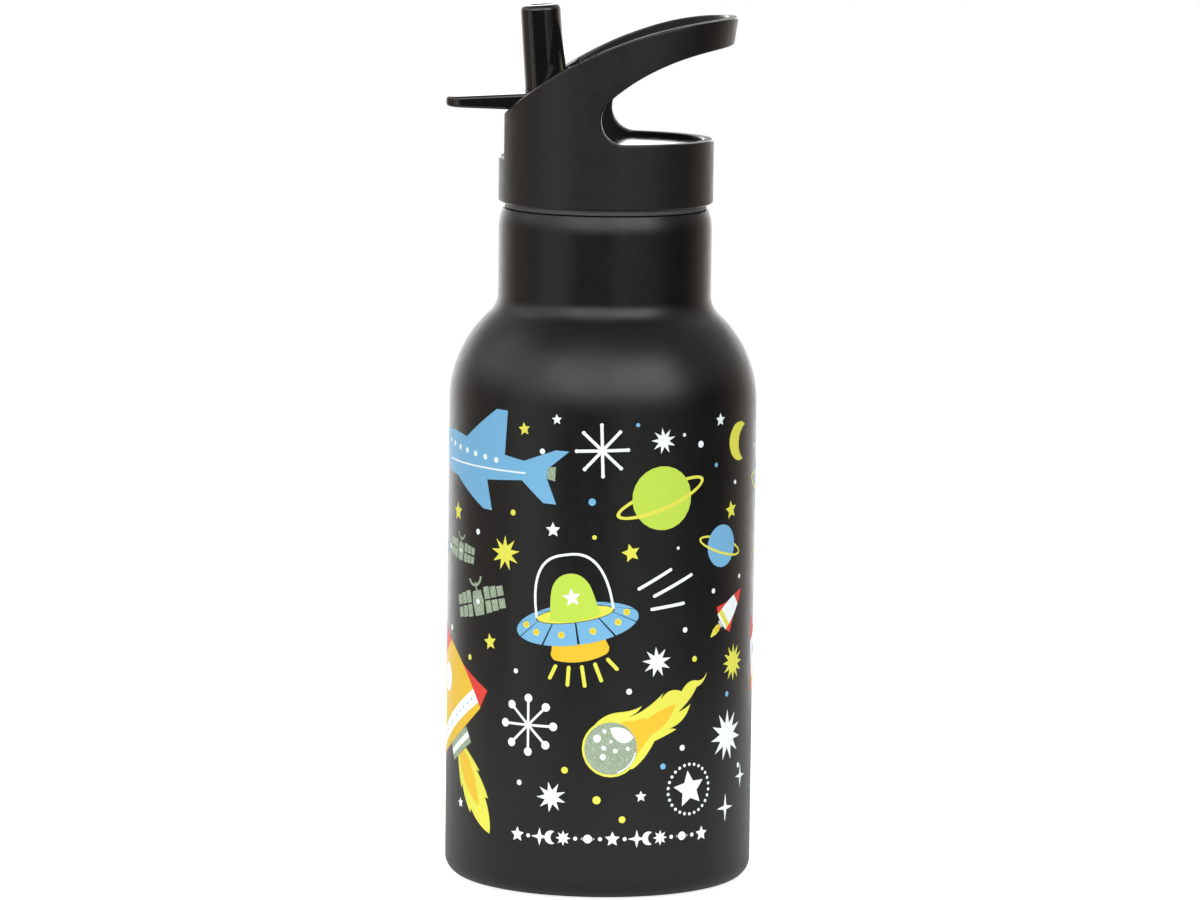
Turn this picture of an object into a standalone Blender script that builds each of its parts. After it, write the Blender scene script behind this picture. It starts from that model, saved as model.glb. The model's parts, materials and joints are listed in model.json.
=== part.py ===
"""Insulated kids' drinking bottle: a double-walled steel bottle and a screw lid with a carrying
loop and a flip-up mouthpiece on a straw.

Frame: +Z up, origin at the centre of the base. +X points to the closed end of the carrying loop,
and the mouthpiece stands over -X. Everything is in metres.
"""

import math

import bmesh
import bpy
from mathutils import Matrix, Vector

# Bottle
BODY_RADIUS = 0.0340
NECK_RADIUS = 0.02357
BASE_FILLET = 0.0040
SHOULDER_START = 0.1060
SHOULDER_RADIUS = 0.0260
NECK_FILLET = 0.0060
LIP_HEIGHT = 0.1485
LIP_CURVE_START = 0.14393
LIP_CURVE_RADIUS = 0.0117
OUTER_WALL = 0.0006
LINER_WALL = 0.0005
VACUUM_GAP = 0.0030
LIP_INNER_RADIUS = 0.0204
BASE_OPENING_RADIUS = 0.0285

# Bottom of the bottle, from the ground up
BASE_CAP_RADIUS = 0.0281
BASE_CAP_THICKNESS = 0.0008
OUTER_BASE_HEIGHT = 0.0022
OUTER_BASE_FLAT_RADIUS = 0.0295
OUTER_BASE_RIM_START = 0.0055
OUTER_BASE_RIM_TOP = 0.0085
LINER_BOTTOM_HEIGHT = 0.0060
LINER_EDGE_HEIGHT = 0.0066
LINER_RIM_HEIGHT = 0.0032
WELD_GAP = 0.0004
SEAL_HOLE_RADIUS = 0.0010
GETTER_X = 0.0120
GETTER_RADIUS = 0.0040
GETTER_HEIGHT = 0.0020

# Thread between the neck and the plug of the lid
THREAD_PITCH = 0.0040
THREAD_TURNS = 1.5
THREAD_START = 0.1385
THREAD_DEPTH = 0.0012
THREAD_ROOT_WIDTH = 0.0018
THREAD_TIP_WIDTH = 0.0008
PLUG_RADIUS = 0.0178
PLUG_WALL = 0.0016
PLUG_BOTTOM = 0.1370

# Lid
LID_RADIUS = 0.02365
LID_WALL = 0.0025
LID_BOTTOM = 0.14985
RING_TOP = 0.1641
FLOOR_TOP = 0.1631
FLOOR_THICKNESS = 0.0016
GASKET_OUTER_RADIUS = 0.0222
GASKET_INNER_RADIUS = 0.0182
FLANGE_THICKNESS = 0.0016
FLANGE_GAP = 0.00035

# Carrying loop: its top and its underside are arcs seen from the side
LOOP_SHIFT = 0.0046
LOOP_FLARE = 0.147
LOOP_FLARE_HEIGHT = 0.1880
TOP_ARC_X = 0.0330
TOP_ARC_Z = 0.1095
TOP_ARC_RADIUS = 0.0817
UNDER_ARC_X = 0.0335
UNDER_ARC_Z = 0.1361
OPENING_ROUND = 0.0053

# Slot between the two cheeks that hold the mouthpiece
SLOT_HALF_WIDTH = 0.0084
SLOT_BOTTOM = 0.1599
CHEEK_END_X = -0.0075
CHEEK_STEP = 0.0002

# Mouthpiece, hinged on two trunnions
PIVOT_X = -0.0131
PIVOT_Z = 0.1696
BARREL_RADIUS = 0.0056
BARREL_HALF_LENGTH = 0.0080
TRUNNION_RADIUS = 0.0020
TRUNNION_END = 0.0106
TRUNNION_HOLE_RADIUS = 0.00235
TRUNNION_HOLE_DEPTH = 0.0030
SPOUT_LEAN = math.radians(4.3)
SPOUT_LENGTH = 0.0236
SPOUT_BASE_SIZE = (0.0094, 0.0138)
SPOUT_TIP_SIZE = (0.0086, 0.0130)
SPOUT_ROUNDNESS = 0.75
BORE_RADIUS = 0.0023
SEAT_INNER_RADIUS = 0.0025
SEAT_OUTER_RADIUS = 0.0048
SEAT_DEPTH = 0.0009
TAB_TIP_X = -0.03535
TAB_HALF_WIDTH = 0.0070
TAB_CORNER = 0.0045
TAB_TIP_TOP = 0.1728
TAB_TIP_UNDER = 0.1706
TAB_TOP_SLOPE = 0.0585
TAB_UNDER_SLOPE = 0.0222

# Straw
STRAW_X = -0.0126
STRAW_RADIUS = 0.0032
STRAW_WALL = 0.0007
STRAW_BOTTOM = 0.0105
STRAW_TOP = 0.1602
SOCKET_RADIUS = 0.0046
SOCKET_BOTTOM = 0.1530

# Air valve under the floor of the lid
VALVE_X = -0.0032
VALVE_RADIUS = 0.0022
VALVE_LENGTH = 0.0040
VALVE_SOCKET_WALL = 0.0014
VALVE_SOCKET_LENGTH = 0.0030
VENT_RADIUS = 0.0008

CLEARANCE = 0.0003
OVERLAP = 0.0006
PAST_SURFACE = 0.0010
SEGMENTS = 48
FINE_SEGMENTS = 24
SMALL_SEGMENTS = 16
TOOL_PHASE = 0.37
SHARP_ANGLE = math.radians(35)


def clear_scene():
    for item in list(bpy.data.objects):
        bpy.data.objects.remove(item, do_unlink=True)


def material(name, colour, roughness, metallic=0.0):
    made = bpy.data.materials.new(name)
    made.use_nodes = True
    shader = made.node_tree.nodes["Principled BSDF"]
    shader.inputs["Base Color"].default_value = (*colour, 1.0)
    shader.inputs["Roughness"].default_value = roughness
    shader.inputs["Metallic"].default_value = metallic
    return made


def new_object(name, mesh, finish=None):
    made = bpy.data.objects.new(name, mesh)
    bpy.context.collection.objects.link(made)
    if finish:
        mesh.materials.append(finish)
    return made


def mesh_from(name, build):
    """A mesh whose bmesh the given function fills, with its faces turned outwards."""
    mesh = bpy.data.meshes.new(name)
    work = bmesh.new()
    build(work)
    bmesh.ops.recalc_face_normals(work, faces=work.faces)
    work.to_mesh(mesh)
    work.free()
    return mesh


def arc(centre_r, centre_z, radius, start, end, steps):
    """Points of a circular arc in the (r, z) plane, with its angles in degrees."""
    points = []
    for step in range(steps + 1):
        angle = math.radians(start + (end - start) * step / steps)
        points.append((centre_r + radius * math.cos(angle), centre_z + radius * math.sin(angle)))
    return points


def lathe_mesh(name, profile, segments=SEGMENTS, centre_x=0.0, phase=0.0):
    """A profile of (r, z) points, closed on itself or ending on the axis, turned about Z.

    The phase turns the facets by that share of one segment, so that a tool's edges don't fall
    on those of the piece that it cuts.
    """

    def build(work):
        rings = []
        for radius, z in profile:
            count = 1 if radius == 0.0 else segments
            ring = []
            for step in range(count):
                angle = math.tau * (step + phase) / segments
                ring.append(work.verts.new(
                    (centre_x + radius * math.cos(angle), radius * math.sin(angle), z)))
            rings.append(ring)
        open_profile = profile[0][0] == 0.0 and profile[-1][0] == 0.0
        pairs = list(zip(rings, rings[1:]))
        if not open_profile:
            pairs.append((rings[-1], rings[0]))
        for low, high in pairs:
            for step in range(segments):
                after = (step + 1) % segments
                corners = [low[step % len(low)], low[after % len(low)],
                           high[after % len(high)], high[step % len(high)]]
                distinct = list(dict.fromkeys(corners))
                if len(distinct) > 2:
                    work.faces.new(distinct)

    return mesh_from(name, build)


def lathe(name, profile, finish=None, segments=SEGMENTS, centre_x=0.0):
    return new_object(name, lathe_mesh(name, profile, segments, centre_x), finish)


def cylinder(name, radius, low, high, centre_x, segments=FINE_SEGMENTS):
    """A solid cylinder along Z, used to join or to cut."""
    profile = [(0.0, low), (radius, low), (radius, high), (0.0, high)]
    return new_object(name, lathe_mesh(name, profile, segments, centre_x, TOOL_PHASE))


def turned_along_y(item, centre_y=0.0):
    """Lay a cylinder made round the Z axis along the mouthpiece's pivot line."""
    item.data.transform(Matrix.Rotation(math.pi / 2, 4, "X"))
    item.data.transform(Matrix.Translation((PIVOT_X, centre_y, PIVOT_Z)))
    return item


def prism(name, outline, half_width, centre_y=0.0):
    """A side outline of (x, z) points, extruded both ways along Y."""

    def build(work):
        near = [work.verts.new((x, centre_y - half_width, z)) for x, z in outline]
        far = [work.verts.new((x, centre_y + half_width, z)) for x, z in outline]
        work.faces.new(near)
        work.faces.new(far)
        for step in range(len(outline)):
            after = (step + 1) % len(outline)
            work.faces.new((near[step], near[after], far[after], far[step]))

    return new_object(name, mesh_from(name, build))


def combine(base, tool, operation, solver="EXACT"):
    """Apply a Boolean to the base and remove the tool."""
    change = base.modifiers.new(tool.name, "BOOLEAN")
    change.operation = operation
    change.solver = solver
    change.object = tool
    bpy.context.view_layer.update()
    evaluated = base.evaluated_get(bpy.context.evaluated_depsgraph_get())
    mesh = bpy.data.meshes.new_from_object(evaluated)
    base.modifiers.clear()
    base.data = mesh
    bpy.data.objects.remove(tool, do_unlink=True)


def join_to(base, *tools, solver="EXACT"):
    for tool in tools:
        combine(base, tool, "UNION", solver)


def cut_from(base, *tools, solver="EXACT"):
    for tool in tools:
        combine(base, tool, "DIFFERENCE", solver)


def set_origin(item, point):
    """Move an object's origin without moving its mesh in space."""
    item.data.transform(Matrix.Translation(-Vector(point)))
    item.location = point


def wall_line(depth, bottom, top, arc_steps):
    """The bottle's side at a depth inside its outer surface, from the bottom to the top."""
    fillet_r = NECK_RADIUS + NECK_FILLET
    reach = SHOULDER_RADIUS + NECK_FILLET
    arc_r = BODY_RADIUS - SHOULDER_RADIUS
    rise = math.sqrt(reach ** 2 - (fillet_r - arc_r) ** 2)
    turn = math.degrees(math.atan2(rise, fillet_r - arc_r))
    line = [(BODY_RADIUS - depth, bottom)]
    line += arc(arc_r, SHOULDER_START, SHOULDER_RADIUS - depth, 0, turn, arc_steps)
    line += arc(fillet_r, SHOULDER_START + rise, NECK_FILLET + depth, 180 + turn, 180, 3)
    line.append((NECK_RADIUS - depth, top))
    return line


def helix_ridge(name, root_radius, tip_radius, start_z, turns):
    """A screw thread's ridge, a tapered strip wound up the axis and sunk a little into its wall."""
    steps = int(SEGMENTS * turns)
    fade_steps = 6
    overlap = 0.0003 if tip_radius < root_radius else -0.0003

    def build(work):
        sections = []
        for step in range(steps + 1):
            angle = math.tau * (step + 0.5) / SEGMENTS
            z = start_z + THREAD_PITCH * step / SEGMENTS
            height = min(1.0, 0.15 + min(step, steps - step) / fade_steps)
            tip = root_radius + (tip_radius - root_radius) * height
            root = root_radius + overlap
            section = []
            for radius, offset in ((root, -THREAD_ROOT_WIDTH / 2), (tip, -THREAD_TIP_WIDTH / 2),
                                   (tip, THREAD_TIP_WIDTH / 2), (root, THREAD_ROOT_WIDTH / 2)):
                section.append(work.verts.new(
                    (radius * math.cos(angle), radius * math.sin(angle), z + offset)))
            sections.append(section)
        for low, high in zip(sections, sections[1:]):
            for side in range(4):
                after = (side + 1) % 4
                work.faces.new((low[side], low[after], high[after], high[side]))
        work.faces.new(sections[0])
        work.faces.new(sections[-1])

    return new_object(name, mesh_from(name, build))


def make_outer_shell(finish):
    """The painted outer wall, curved in to the lip at the top and to the foot ring below."""
    foot_r = BODY_RADIUS - BASE_FILLET
    lip_r = NECK_RADIUS - LIP_CURVE_RADIUS
    lip_under = LIP_HEIGHT - OUTER_WALL

    def lip_curve(depth, top):
        radius = LIP_CURVE_RADIUS - depth
        end = math.degrees(math.asin((top - LIP_CURVE_START) / radius))
        return arc(lip_r, LIP_CURVE_START, radius, 0, end, 3)[1:]

    outside = arc(foot_r, BASE_FILLET, BASE_FILLET, -90, 0, 3)[:-1]
    outside += wall_line(0.0, BASE_FILLET, LIP_CURVE_START, 5)
    outside += lip_curve(0.0, LIP_HEIGHT)
    inside = wall_line(OUTER_WALL, BASE_FILLET, LIP_CURVE_START, 5)
    inside += lip_curve(OUTER_WALL, lip_under)
    foot_inside = arc(foot_r, BASE_FILLET, BASE_FILLET - OUTER_WALL, -90, 0, 3)[:-1]
    lathe("outer_shell", [
        (BASE_OPENING_RADIUS, 0.0), *outside, (LIP_INNER_RADIUS, LIP_HEIGHT),
        (LIP_INNER_RADIUS, lip_under), *reversed(inside), *reversed(foot_inside),
        (BASE_OPENING_RADIUS, OUTER_WALL)], finish)


def make_inner_liner(finish):
    """The bare steel inner wall, with the thread on the inside of its neck."""
    outer_depth = OUTER_WALL + VACUUM_GAP
    inner_depth = outer_depth + LINER_WALL
    outside = wall_line(outer_depth, LINER_EDGE_HEIGHT, LIP_HEIGHT, 4)
    inside = wall_line(inner_depth, LINER_EDGE_HEIGHT, LIP_HEIGHT, 4)
    liner = lathe("inner_liner", outside + inside[::-1], finish)
    root = NECK_RADIUS - inner_depth
    join_to(liner, helix_ridge("neck_thread", root, root - THREAD_DEPTH,
                               THREAD_START + THREAD_PITCH / 2, THREAD_TURNS))


def make_bottom_parts(paint, steel, seal_metal, getter_metal):
    """Everything between the liner and the ground, under the vacuum space."""
    base_z = OUTER_BASE_HEIGHT
    sheet = OUTER_WALL
    rim = BODY_RADIUS - OUTER_WALL - WELD_GAP
    flat = OUTER_BASE_FLAT_RADIUS
    lathe("outer_base", [
        (SEAL_HOLE_RADIUS, base_z), (flat, base_z), (rim, OUTER_BASE_RIM_START),
        (rim, OUTER_BASE_RIM_TOP), (rim - sheet, OUTER_BASE_RIM_TOP),
        (rim - sheet, OUTER_BASE_RIM_START + 0.0002), (flat - 0.0002, base_z + sheet),
        (SEAL_HOLE_RADIUS, base_z + sheet)], steel)

    bead_under = BASE_CAP_THICKNESS + CLEARANCE
    bead_top = base_z - CLEARANCE
    neck = SEAL_HOLE_RADIUS - 0.0004
    lathe("vacuum_seal", [
        (0.0, bead_under), (0.0022, bead_under + 0.0001), (0.0026, bead_top), (neck, bead_top),
        (neck, bead_top + 0.0008), (0.0, bead_top + 0.0008)], seal_metal, SMALL_SEGMENTS)

    edge = CLEARANCE
    lathe("base_cap", [
        (0.0, 0.0), (BASE_CAP_RADIUS - edge, 0.0), (BASE_CAP_RADIUS, edge),
        (BASE_CAP_RADIUS, BASE_CAP_THICKNESS), (0.0, BASE_CAP_THICKNESS)], paint)

    low = base_z + sheet + CLEARANCE
    high = low + GETTER_HEIGHT
    getter = lathe("getter", [
        (0.0, low), (GETTER_RADIUS, low), (GETTER_RADIUS, high - 0.0003),
        (GETTER_RADIUS - 0.0006, high), (0.0, high)], getter_metal, SMALL_SEGMENTS)
    getter.location.x = GETTER_X

    bottom = LINER_BOTTOM_HEIGHT
    rim = BODY_RADIUS - OUTER_WALL - VACUUM_GAP - LINER_WALL - WELD_GAP
    wall = LINER_WALL
    top = bottom + LINER_RIM_HEIGHT
    lathe("liner_bottom", [
        (0.0, bottom), (rim - 0.0025, bottom), (rim - 0.0007, bottom + 0.0008),
        (rim, bottom + 0.0025), (rim, top), (rim - wall, top), (rim - wall, bottom + 0.0026),
        (rim - 0.0011, bottom + 0.0012), (rim - 0.0026, bottom + wall), (0.0, bottom + wall)],
        steel)


def loop_top(x):
    return TOP_ARC_Z + math.sqrt(TOP_ARC_RADIUS ** 2 - (x - TOP_ARC_X) ** 2)


def opening_edges(x):
    """Heights of the finger opening's lower and upper edge at a place along the lid."""
    centre_x = OPENING_ROUND
    centre_z = RING_TOP + OPENING_ROUND
    from_under = math.hypot(UNDER_ARC_X - centre_x, UNDER_ARC_Z - centre_z)
    under_radius = from_under + OPENING_ROUND
    meet_x = UNDER_ARC_X + (centre_x - UNDER_ARC_X) * under_radius / from_under
    drop = math.sqrt(max(0.0, OPENING_ROUND ** 2 - (x - centre_x) ** 2))
    low = centre_z - drop if x < centre_x else RING_TOP
    if x < meet_x:
        return low, centre_z + drop
    return low, UNDER_ARC_Z + math.sqrt(under_radius ** 2 - (x - UNDER_ARC_X) ** 2)


def arm_split(x):
    """A line across the arms that ends at the tip of the finger opening."""
    share = (RING_TOP + OPENING_ROUND - SLOT_BOTTOM) / (loop_top(0.0) - SLOT_BOTTOM)
    return SLOT_BOTTOM + share * (loop_top(x) - SLOT_BOTTOM)


def on_circle(outer_angle, inner_angle, shift=0.0):
    """The outer and the inner point of the lid's wall, seen from above."""
    inner_radius = LID_RADIUS - LID_WALL
    outer = (shift + LID_RADIUS * math.cos(outer_angle), LID_RADIUS * math.sin(outer_angle))
    inner = (shift + inner_radius * math.cos(inner_angle), inner_radius * math.sin(inner_angle))
    return outer, inner


def between(start, end, steps):
    return [start + (end - start) * step / steps for step in range(steps + 1)]


def lid_plan():
    """Points round one half of the lid's wall from the middle of its front, seen from above."""
    outer_slot = -math.pi + math.asin(SLOT_HALF_WIDTH / LID_RADIUS)
    inner_slot = -math.pi + math.asin(SLOT_HALF_WIDTH / (LID_RADIUS - LID_WALL))
    side = -math.pi / 2
    front = list(map(on_circle, between(-math.pi, outer_slot, 3), between(-math.pi, inner_slot, 3)))
    arm = list(map(on_circle, between(outer_slot, side, 9), between(inner_slot, side, 9)))
    ring = []
    loop = []
    for turn in between(0.0, math.pi / 2, 6):
        x = OPENING_ROUND * (1 - math.cos(turn))
        angle = -math.acos(x / LID_RADIUS)
        ring.append(on_circle(angle, angle))
        if x < LOOP_SHIFT:
            loop.append(((x, -LID_RADIUS), (x, LID_WALL - LID_RADIUS)))
        else:
            angle = -math.acos((x - LOOP_SHIFT) / LID_RADIUS)
            loop.append(on_circle(angle, angle, LOOP_SHIFT))
    for angle in between(-math.acos(OPENING_ROUND / LID_RADIUS), 0.0, 10)[1:]:
        ring.append(on_circle(angle, angle))
    for angle in between(-math.acos((OPENING_ROUND - LOOP_SHIFT) / LID_RADIUS), 0.0, 10)[1:]:
        loop.append(on_circle(angle, angle, LOOP_SHIFT))
    return front, arm, ring, loop


def flared(point, z):
    """The carrying loop leans outwards as it rises, most at its far end."""
    reach = max(0.0, point[0]) / (LID_RADIUS + LOOP_SHIFT)
    return point[0] + LOOP_FLARE * (z - LOOP_FLARE_HEIGHT) * reach, point[1], z


def make_lid_wall():
    """Skirt, arms and carrying loop in one closed mesh.

    Sheets of cells cover the outer and the inner surface, and a strip across the wall closes
    every edge that has a cell on one side only.
    """
    front, arm, ring, loop = lid_plan()
    outer_points = []
    inner_points = []
    number = {}
    cells = []

    def corner(place, z, leans, mirror):
        outer, inner = place
        if leans:
            outer, inner = flared(outer, z), flared(inner, z)
        else:
            outer, inner = (*outer, z), (*inner, z)
        outer, inner = (Vector((x, y * mirror, z)) for x, y, z in (outer, inner))
        key = tuple(round(value * 1e7) for value in outer)
        if key not in number:
            number[key] = len(outer_points)
            outer_points.append(outer)
            inner_points.append(inner)
        return number[key]

    def sheet(places, low, high, leans=False):
        for mirror in (1, -1):
            for a, b in zip(places, places[1:]):
                cells.append([corner(place, level(place[0][0]), leans, mirror)
                              for place, level in ((a, low), (b, low), (b, high), (a, high))])

    def ring_level(x):
        return arm_split(x) if x <= 0.0 else opening_edges(x)[0]

    def loop_level(x):
        return arm_split(x) if x <= 0.0 else opening_edges(x)[1]

    sheet(front + arm[1:] + ring[1:], lambda x: LID_BOTTOM, lambda x: SLOT_BOTTOM)
    sheet(arm + ring[1:], lambda x: SLOT_BOTTOM, ring_level)
    sheet(arm + loop[1:], loop_level, loop_top, leans=True)

    edges = {}
    for cell in cells:
        for a, b in zip(cell, cell[1:] + cell[:1]):
            edges.setdefault(frozenset((a, b)), []).append((a, b))

    def build(work):
        outer = [work.verts.new(point) for point in outer_points]
        inner = [work.verts.new(point) for point in inner_points]
        for cell in cells:
            work.faces.new([outer[index] for index in cell])
            work.faces.new([inner[index] for index in cell])
        for sides in edges.values():
            if len(sides) == 1:
                a, b = sides[0]
                work.faces.new((outer[a], outer[b], inner[b], inner[a]))

    return new_object("lid_shell", mesh_from("lid_shell", build))


def make_lid_shell(finish):
    """The outer piece of the lid, with two cheeks inside its arms that carry the mouthpiece."""
    shell = make_lid_wall()
    shell.data.materials.append(finish)
    cheek_radius = LID_RADIUS - LID_WALL / 2
    for side in (-1, 1):
        floor = FLOOR_TOP + CLEARANCE
        outline = [(-LID_RADIUS, floor), (CHEEK_END_X, floor)]
        outline += [(x, loop_top(x) - CHEEK_STEP) for x in between(CHEEK_END_X, -LID_RADIUS, 8)]
        half_width = (LID_RADIUS - SLOT_HALF_WIDTH) / 2
        cheek = prism("cheek", outline, half_width, side * (SLOT_HALF_WIDTH + half_width))
        round_limit = cylinder("round_limit", cheek_radius, LID_BOTTOM, loop_top(0.0), 0.0, SEGMENTS)
        combine(cheek, round_limit, "INTERSECT")
        hole = cylinder("trunnion_hole", TRUNNION_HOLE_RADIUS, -TRUNNION_HOLE_DEPTH,
                        TRUNNION_HOLE_DEPTH, 0.0)
        cut_from(cheek, turned_along_y(hole, side * SLOT_HALF_WIDTH))
        join_to(shell, cheek)
    return shell


def make_lid_core(finish):
    """The glossy floor of the lid and the threaded plug under it, hollow from below."""
    floor_under = FLOOR_TOP - FLOOR_THICKNESS
    above = FLOOR_TOP + PAST_SURFACE
    outer = LID_RADIUS - LID_WALL - CLEARANCE
    inner = outer - FLANGE_THICKNESS
    flange = LID_BOTTOM + FLANGE_GAP
    flange_top = flange + FLANGE_THICKNESS
    plug_inner = PLUG_RADIUS - PLUG_WALL
    core = lathe("lid_core", [
        (0.0, FLOOR_TOP), (outer, FLOOR_TOP), (outer, flange), (PLUG_RADIUS, flange),
        (PLUG_RADIUS, PLUG_BOTTOM), (plug_inner, PLUG_BOTTOM), (plug_inner, flange_top),
        (inner, flange_top), (inner, floor_under), (0.0, floor_under)], finish)
    join_to(
        core,
        helix_ridge("plug_thread", PLUG_RADIUS, PLUG_RADIUS + THREAD_DEPTH, THREAD_START,
                    THREAD_TURNS),
        cylinder("straw_socket", SOCKET_RADIUS, SOCKET_BOTTOM, floor_under + OVERLAP, STRAW_X),
        cylinder("valve_socket", VALVE_RADIUS + VALVE_SOCKET_WALL,
                 floor_under - VALVE_SOCKET_LENGTH, floor_under + OVERLAP + 0.0001, VALVE_X),
        solver="MANIFOLD")
    cut_from(
        core,
        cylinder("straw_bore", STRAW_RADIUS + CLEARANCE, SOCKET_BOTTOM - PAST_SURFACE,
                 STRAW_TOP + CLEARANCE, STRAW_X),
        cylinder("port", SEAT_INNER_RADIUS, STRAW_TOP, above, PIVOT_X),
        cylinder("seat_recess", SEAT_OUTER_RADIUS + CLEARANCE, FLOOR_TOP - SEAT_DEPTH, above,
                 PIVOT_X),
        cylinder("valve_bore", VALVE_RADIUS + CLEARANCE,
                 floor_under - VALVE_SOCKET_LENGTH - PAST_SURFACE, floor_under + 0.0001, VALVE_X),
        cylinder("vent", VENT_RADIUS, floor_under - PAST_SURFACE, above, VALVE_X, 12),
        solver="MANIFOLD")
    return core


def make_gasket(silicone):
    """The sealing ring between the bottle's lip and the lid."""
    low = LIP_HEIGHT + CLEARANCE
    high = LID_BOTTOM - CLEARANCE
    return lathe("lid_gasket", [
        (GASKET_INNER_RADIUS, low), (GASKET_OUTER_RADIUS, low), (GASKET_OUTER_RADIUS, high),
        (GASKET_INNER_RADIUS, high)], silicone)


def make_spout_seal(silicone):
    """The seat under the mouthpiece, hollowed to the shape of the barrel that turns on it.

    It stays below the drinking tube when that is folded down.
    """
    bottom = FLOOR_TOP - SEAT_DEPTH + CLEARANCE
    top = PIVOT_Z - SPOUT_BASE_SIZE[0] / 2 - CLEARANCE
    seat = lathe("spout_seal", [
        (SEAT_INNER_RADIUS, bottom), (SEAT_OUTER_RADIUS, bottom), (SEAT_OUTER_RADIUS, top),
        (SEAT_INNER_RADIUS, top)], silicone, FINE_SEGMENTS, PIVOT_X)
    barrel_space = cylinder("barrel_space", BARREL_RADIUS + CLEARANCE, -TRUNNION_END,
                            TRUNNION_END, 0.0)
    cut_from(seat, turned_along_y(barrel_space))
    return seat


def make_vent_valve(silicone):
    """The air valve, a short tube with a head that seals under the floor of the lid."""
    top = FLOOR_TOP - FLOOR_THICKNESS - CLEARANCE
    hole = 0.0005
    stem = 2 * hole
    return lathe("vent_valve", [
        (hole, top), (VALVE_RADIUS, top), (VALVE_RADIUS, top - 0.0009), (0.0015, top - 0.0014),
        (stem, top - VALVE_LENGTH), (hole, top - VALVE_LENGTH)], silicone, SMALL_SEGMENTS, VALVE_X)


def make_straw(finish):
    straw = lathe("straw", [
        (STRAW_RADIUS - STRAW_WALL, STRAW_BOTTOM), (STRAW_RADIUS, STRAW_BOTTOM),
        (STRAW_RADIUS, STRAW_TOP), (STRAW_RADIUS - STRAW_WALL, STRAW_TOP)], finish,
        SMALL_SEGMENTS)
    straw.location.x = STRAW_X
    return straw


def oval(size, steps):
    """Points of an oval with rather flat sides, centred on the axis."""
    points = []
    for step in range(steps):
        angle = math.tau * (step + 0.5) / steps
        c = math.cos(angle)
        s = math.sin(angle)
        points.append((size[0] / 2 * math.copysign(abs(c) ** SPOUT_ROUNDNESS, c),
                       size[1] / 2 * math.copysign(abs(s) ** SPOUT_ROUNDNESS, s)))
    return points


def spout_tube():
    """The oval drinking tube, tapered upwards and leaning back over the front of the lid."""

    def build(work):
        low = [work.verts.new((x, y, 0.0)) for x, y in oval(SPOUT_BASE_SIZE, FINE_SEGMENTS)]
        high = [work.verts.new((x, y, SPOUT_LENGTH)) for x, y in oval(SPOUT_TIP_SIZE, FINE_SEGMENTS)]
        work.faces.new(low)
        work.faces.new(high)
        for step in range(FINE_SEGMENTS):
            after = (step + 1) % FINE_SEGMENTS
            work.faces.new((low[step], low[after], high[after], high[step]))

    return new_object("tube", mesh_from("tube", build))


def spout_tab():
    """The thumb tab, a flat tongue that thins towards its rounded tip."""
    outline = [(PIVOT_X, -TAB_HALF_WIDTH)]
    corner_x = TAB_TIP_X + TAB_CORNER
    corner_y = TAB_HALF_WIDTH - TAB_CORNER
    outline += arc(corner_x, -corner_y, TAB_CORNER, 270, 180, 4)
    outline += arc(corner_x, corner_y, TAB_CORNER, 180, 90, 4)
    outline.append((PIVOT_X, TAB_HALF_WIDTH))

    def build(work):
        under = [work.verts.new((x, y, TAB_TIP_UNDER - TAB_UNDER_SLOPE * (x - TAB_TIP_X)))
                 for x, y in outline]
        top = [work.verts.new((x, y, TAB_TIP_TOP + TAB_TOP_SLOPE * (x - TAB_TIP_X)))
               for x, y in outline]
        work.faces.new(under)
        work.faces.new(top)
        for step in range(len(outline)):
            after = (step + 1) % len(outline)
            work.faces.new((under[step], under[after], top[after], top[step]))

    return new_object("tab", mesh_from("tab", build))


def make_spout(finish):
    """Barrel, trunnions, drinking tube and thumb tab, with the bore through all of them."""

    def leaning(item):
        item.data.transform(Matrix.Rotation(-SPOUT_LEAN, 4, "Y"))
        item.data.transform(Matrix.Translation((PIVOT_X, 0.0, PIVOT_Z)))
        return item

    barrel = cylinder("spout", BARREL_RADIUS, -BARREL_HALF_LENGTH, BARREL_HALF_LENGTH, 0.0)
    trunnions = cylinder("trunnions", TRUNNION_RADIUS, -TRUNNION_END, TRUNNION_END, 0.0, 20)
    bore = cylinder("bore", BORE_RADIUS, -BARREL_RADIUS - PAST_SURFACE,
                    SPOUT_LENGTH + PAST_SURFACE, 0.0, 20)
    spout = turned_along_y(barrel)
    spout.data.materials.append(finish)
    join_to(spout, turned_along_y(trunnions), leaning(spout_tube()), spout_tab())
    cut_from(spout, leaning(bore))
    set_origin(spout, (PIVOT_X, 0.0, PIVOT_Z))
    return spout


def gather_lid(pieces):
    """Hang the lid's pieces on an empty on the bottle's axis, which they turn about."""
    hub = bpy.data.objects.new("lid_axis", None)
    bpy.context.collection.objects.link(hub)
    hub.location = (0.0, 0.0, LID_BOTTOM)
    bpy.context.view_layer.update()
    for piece in pieces:
        piece.parent = hub
        piece.matrix_parent_inverse = hub.matrix_world.inverted()


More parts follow.
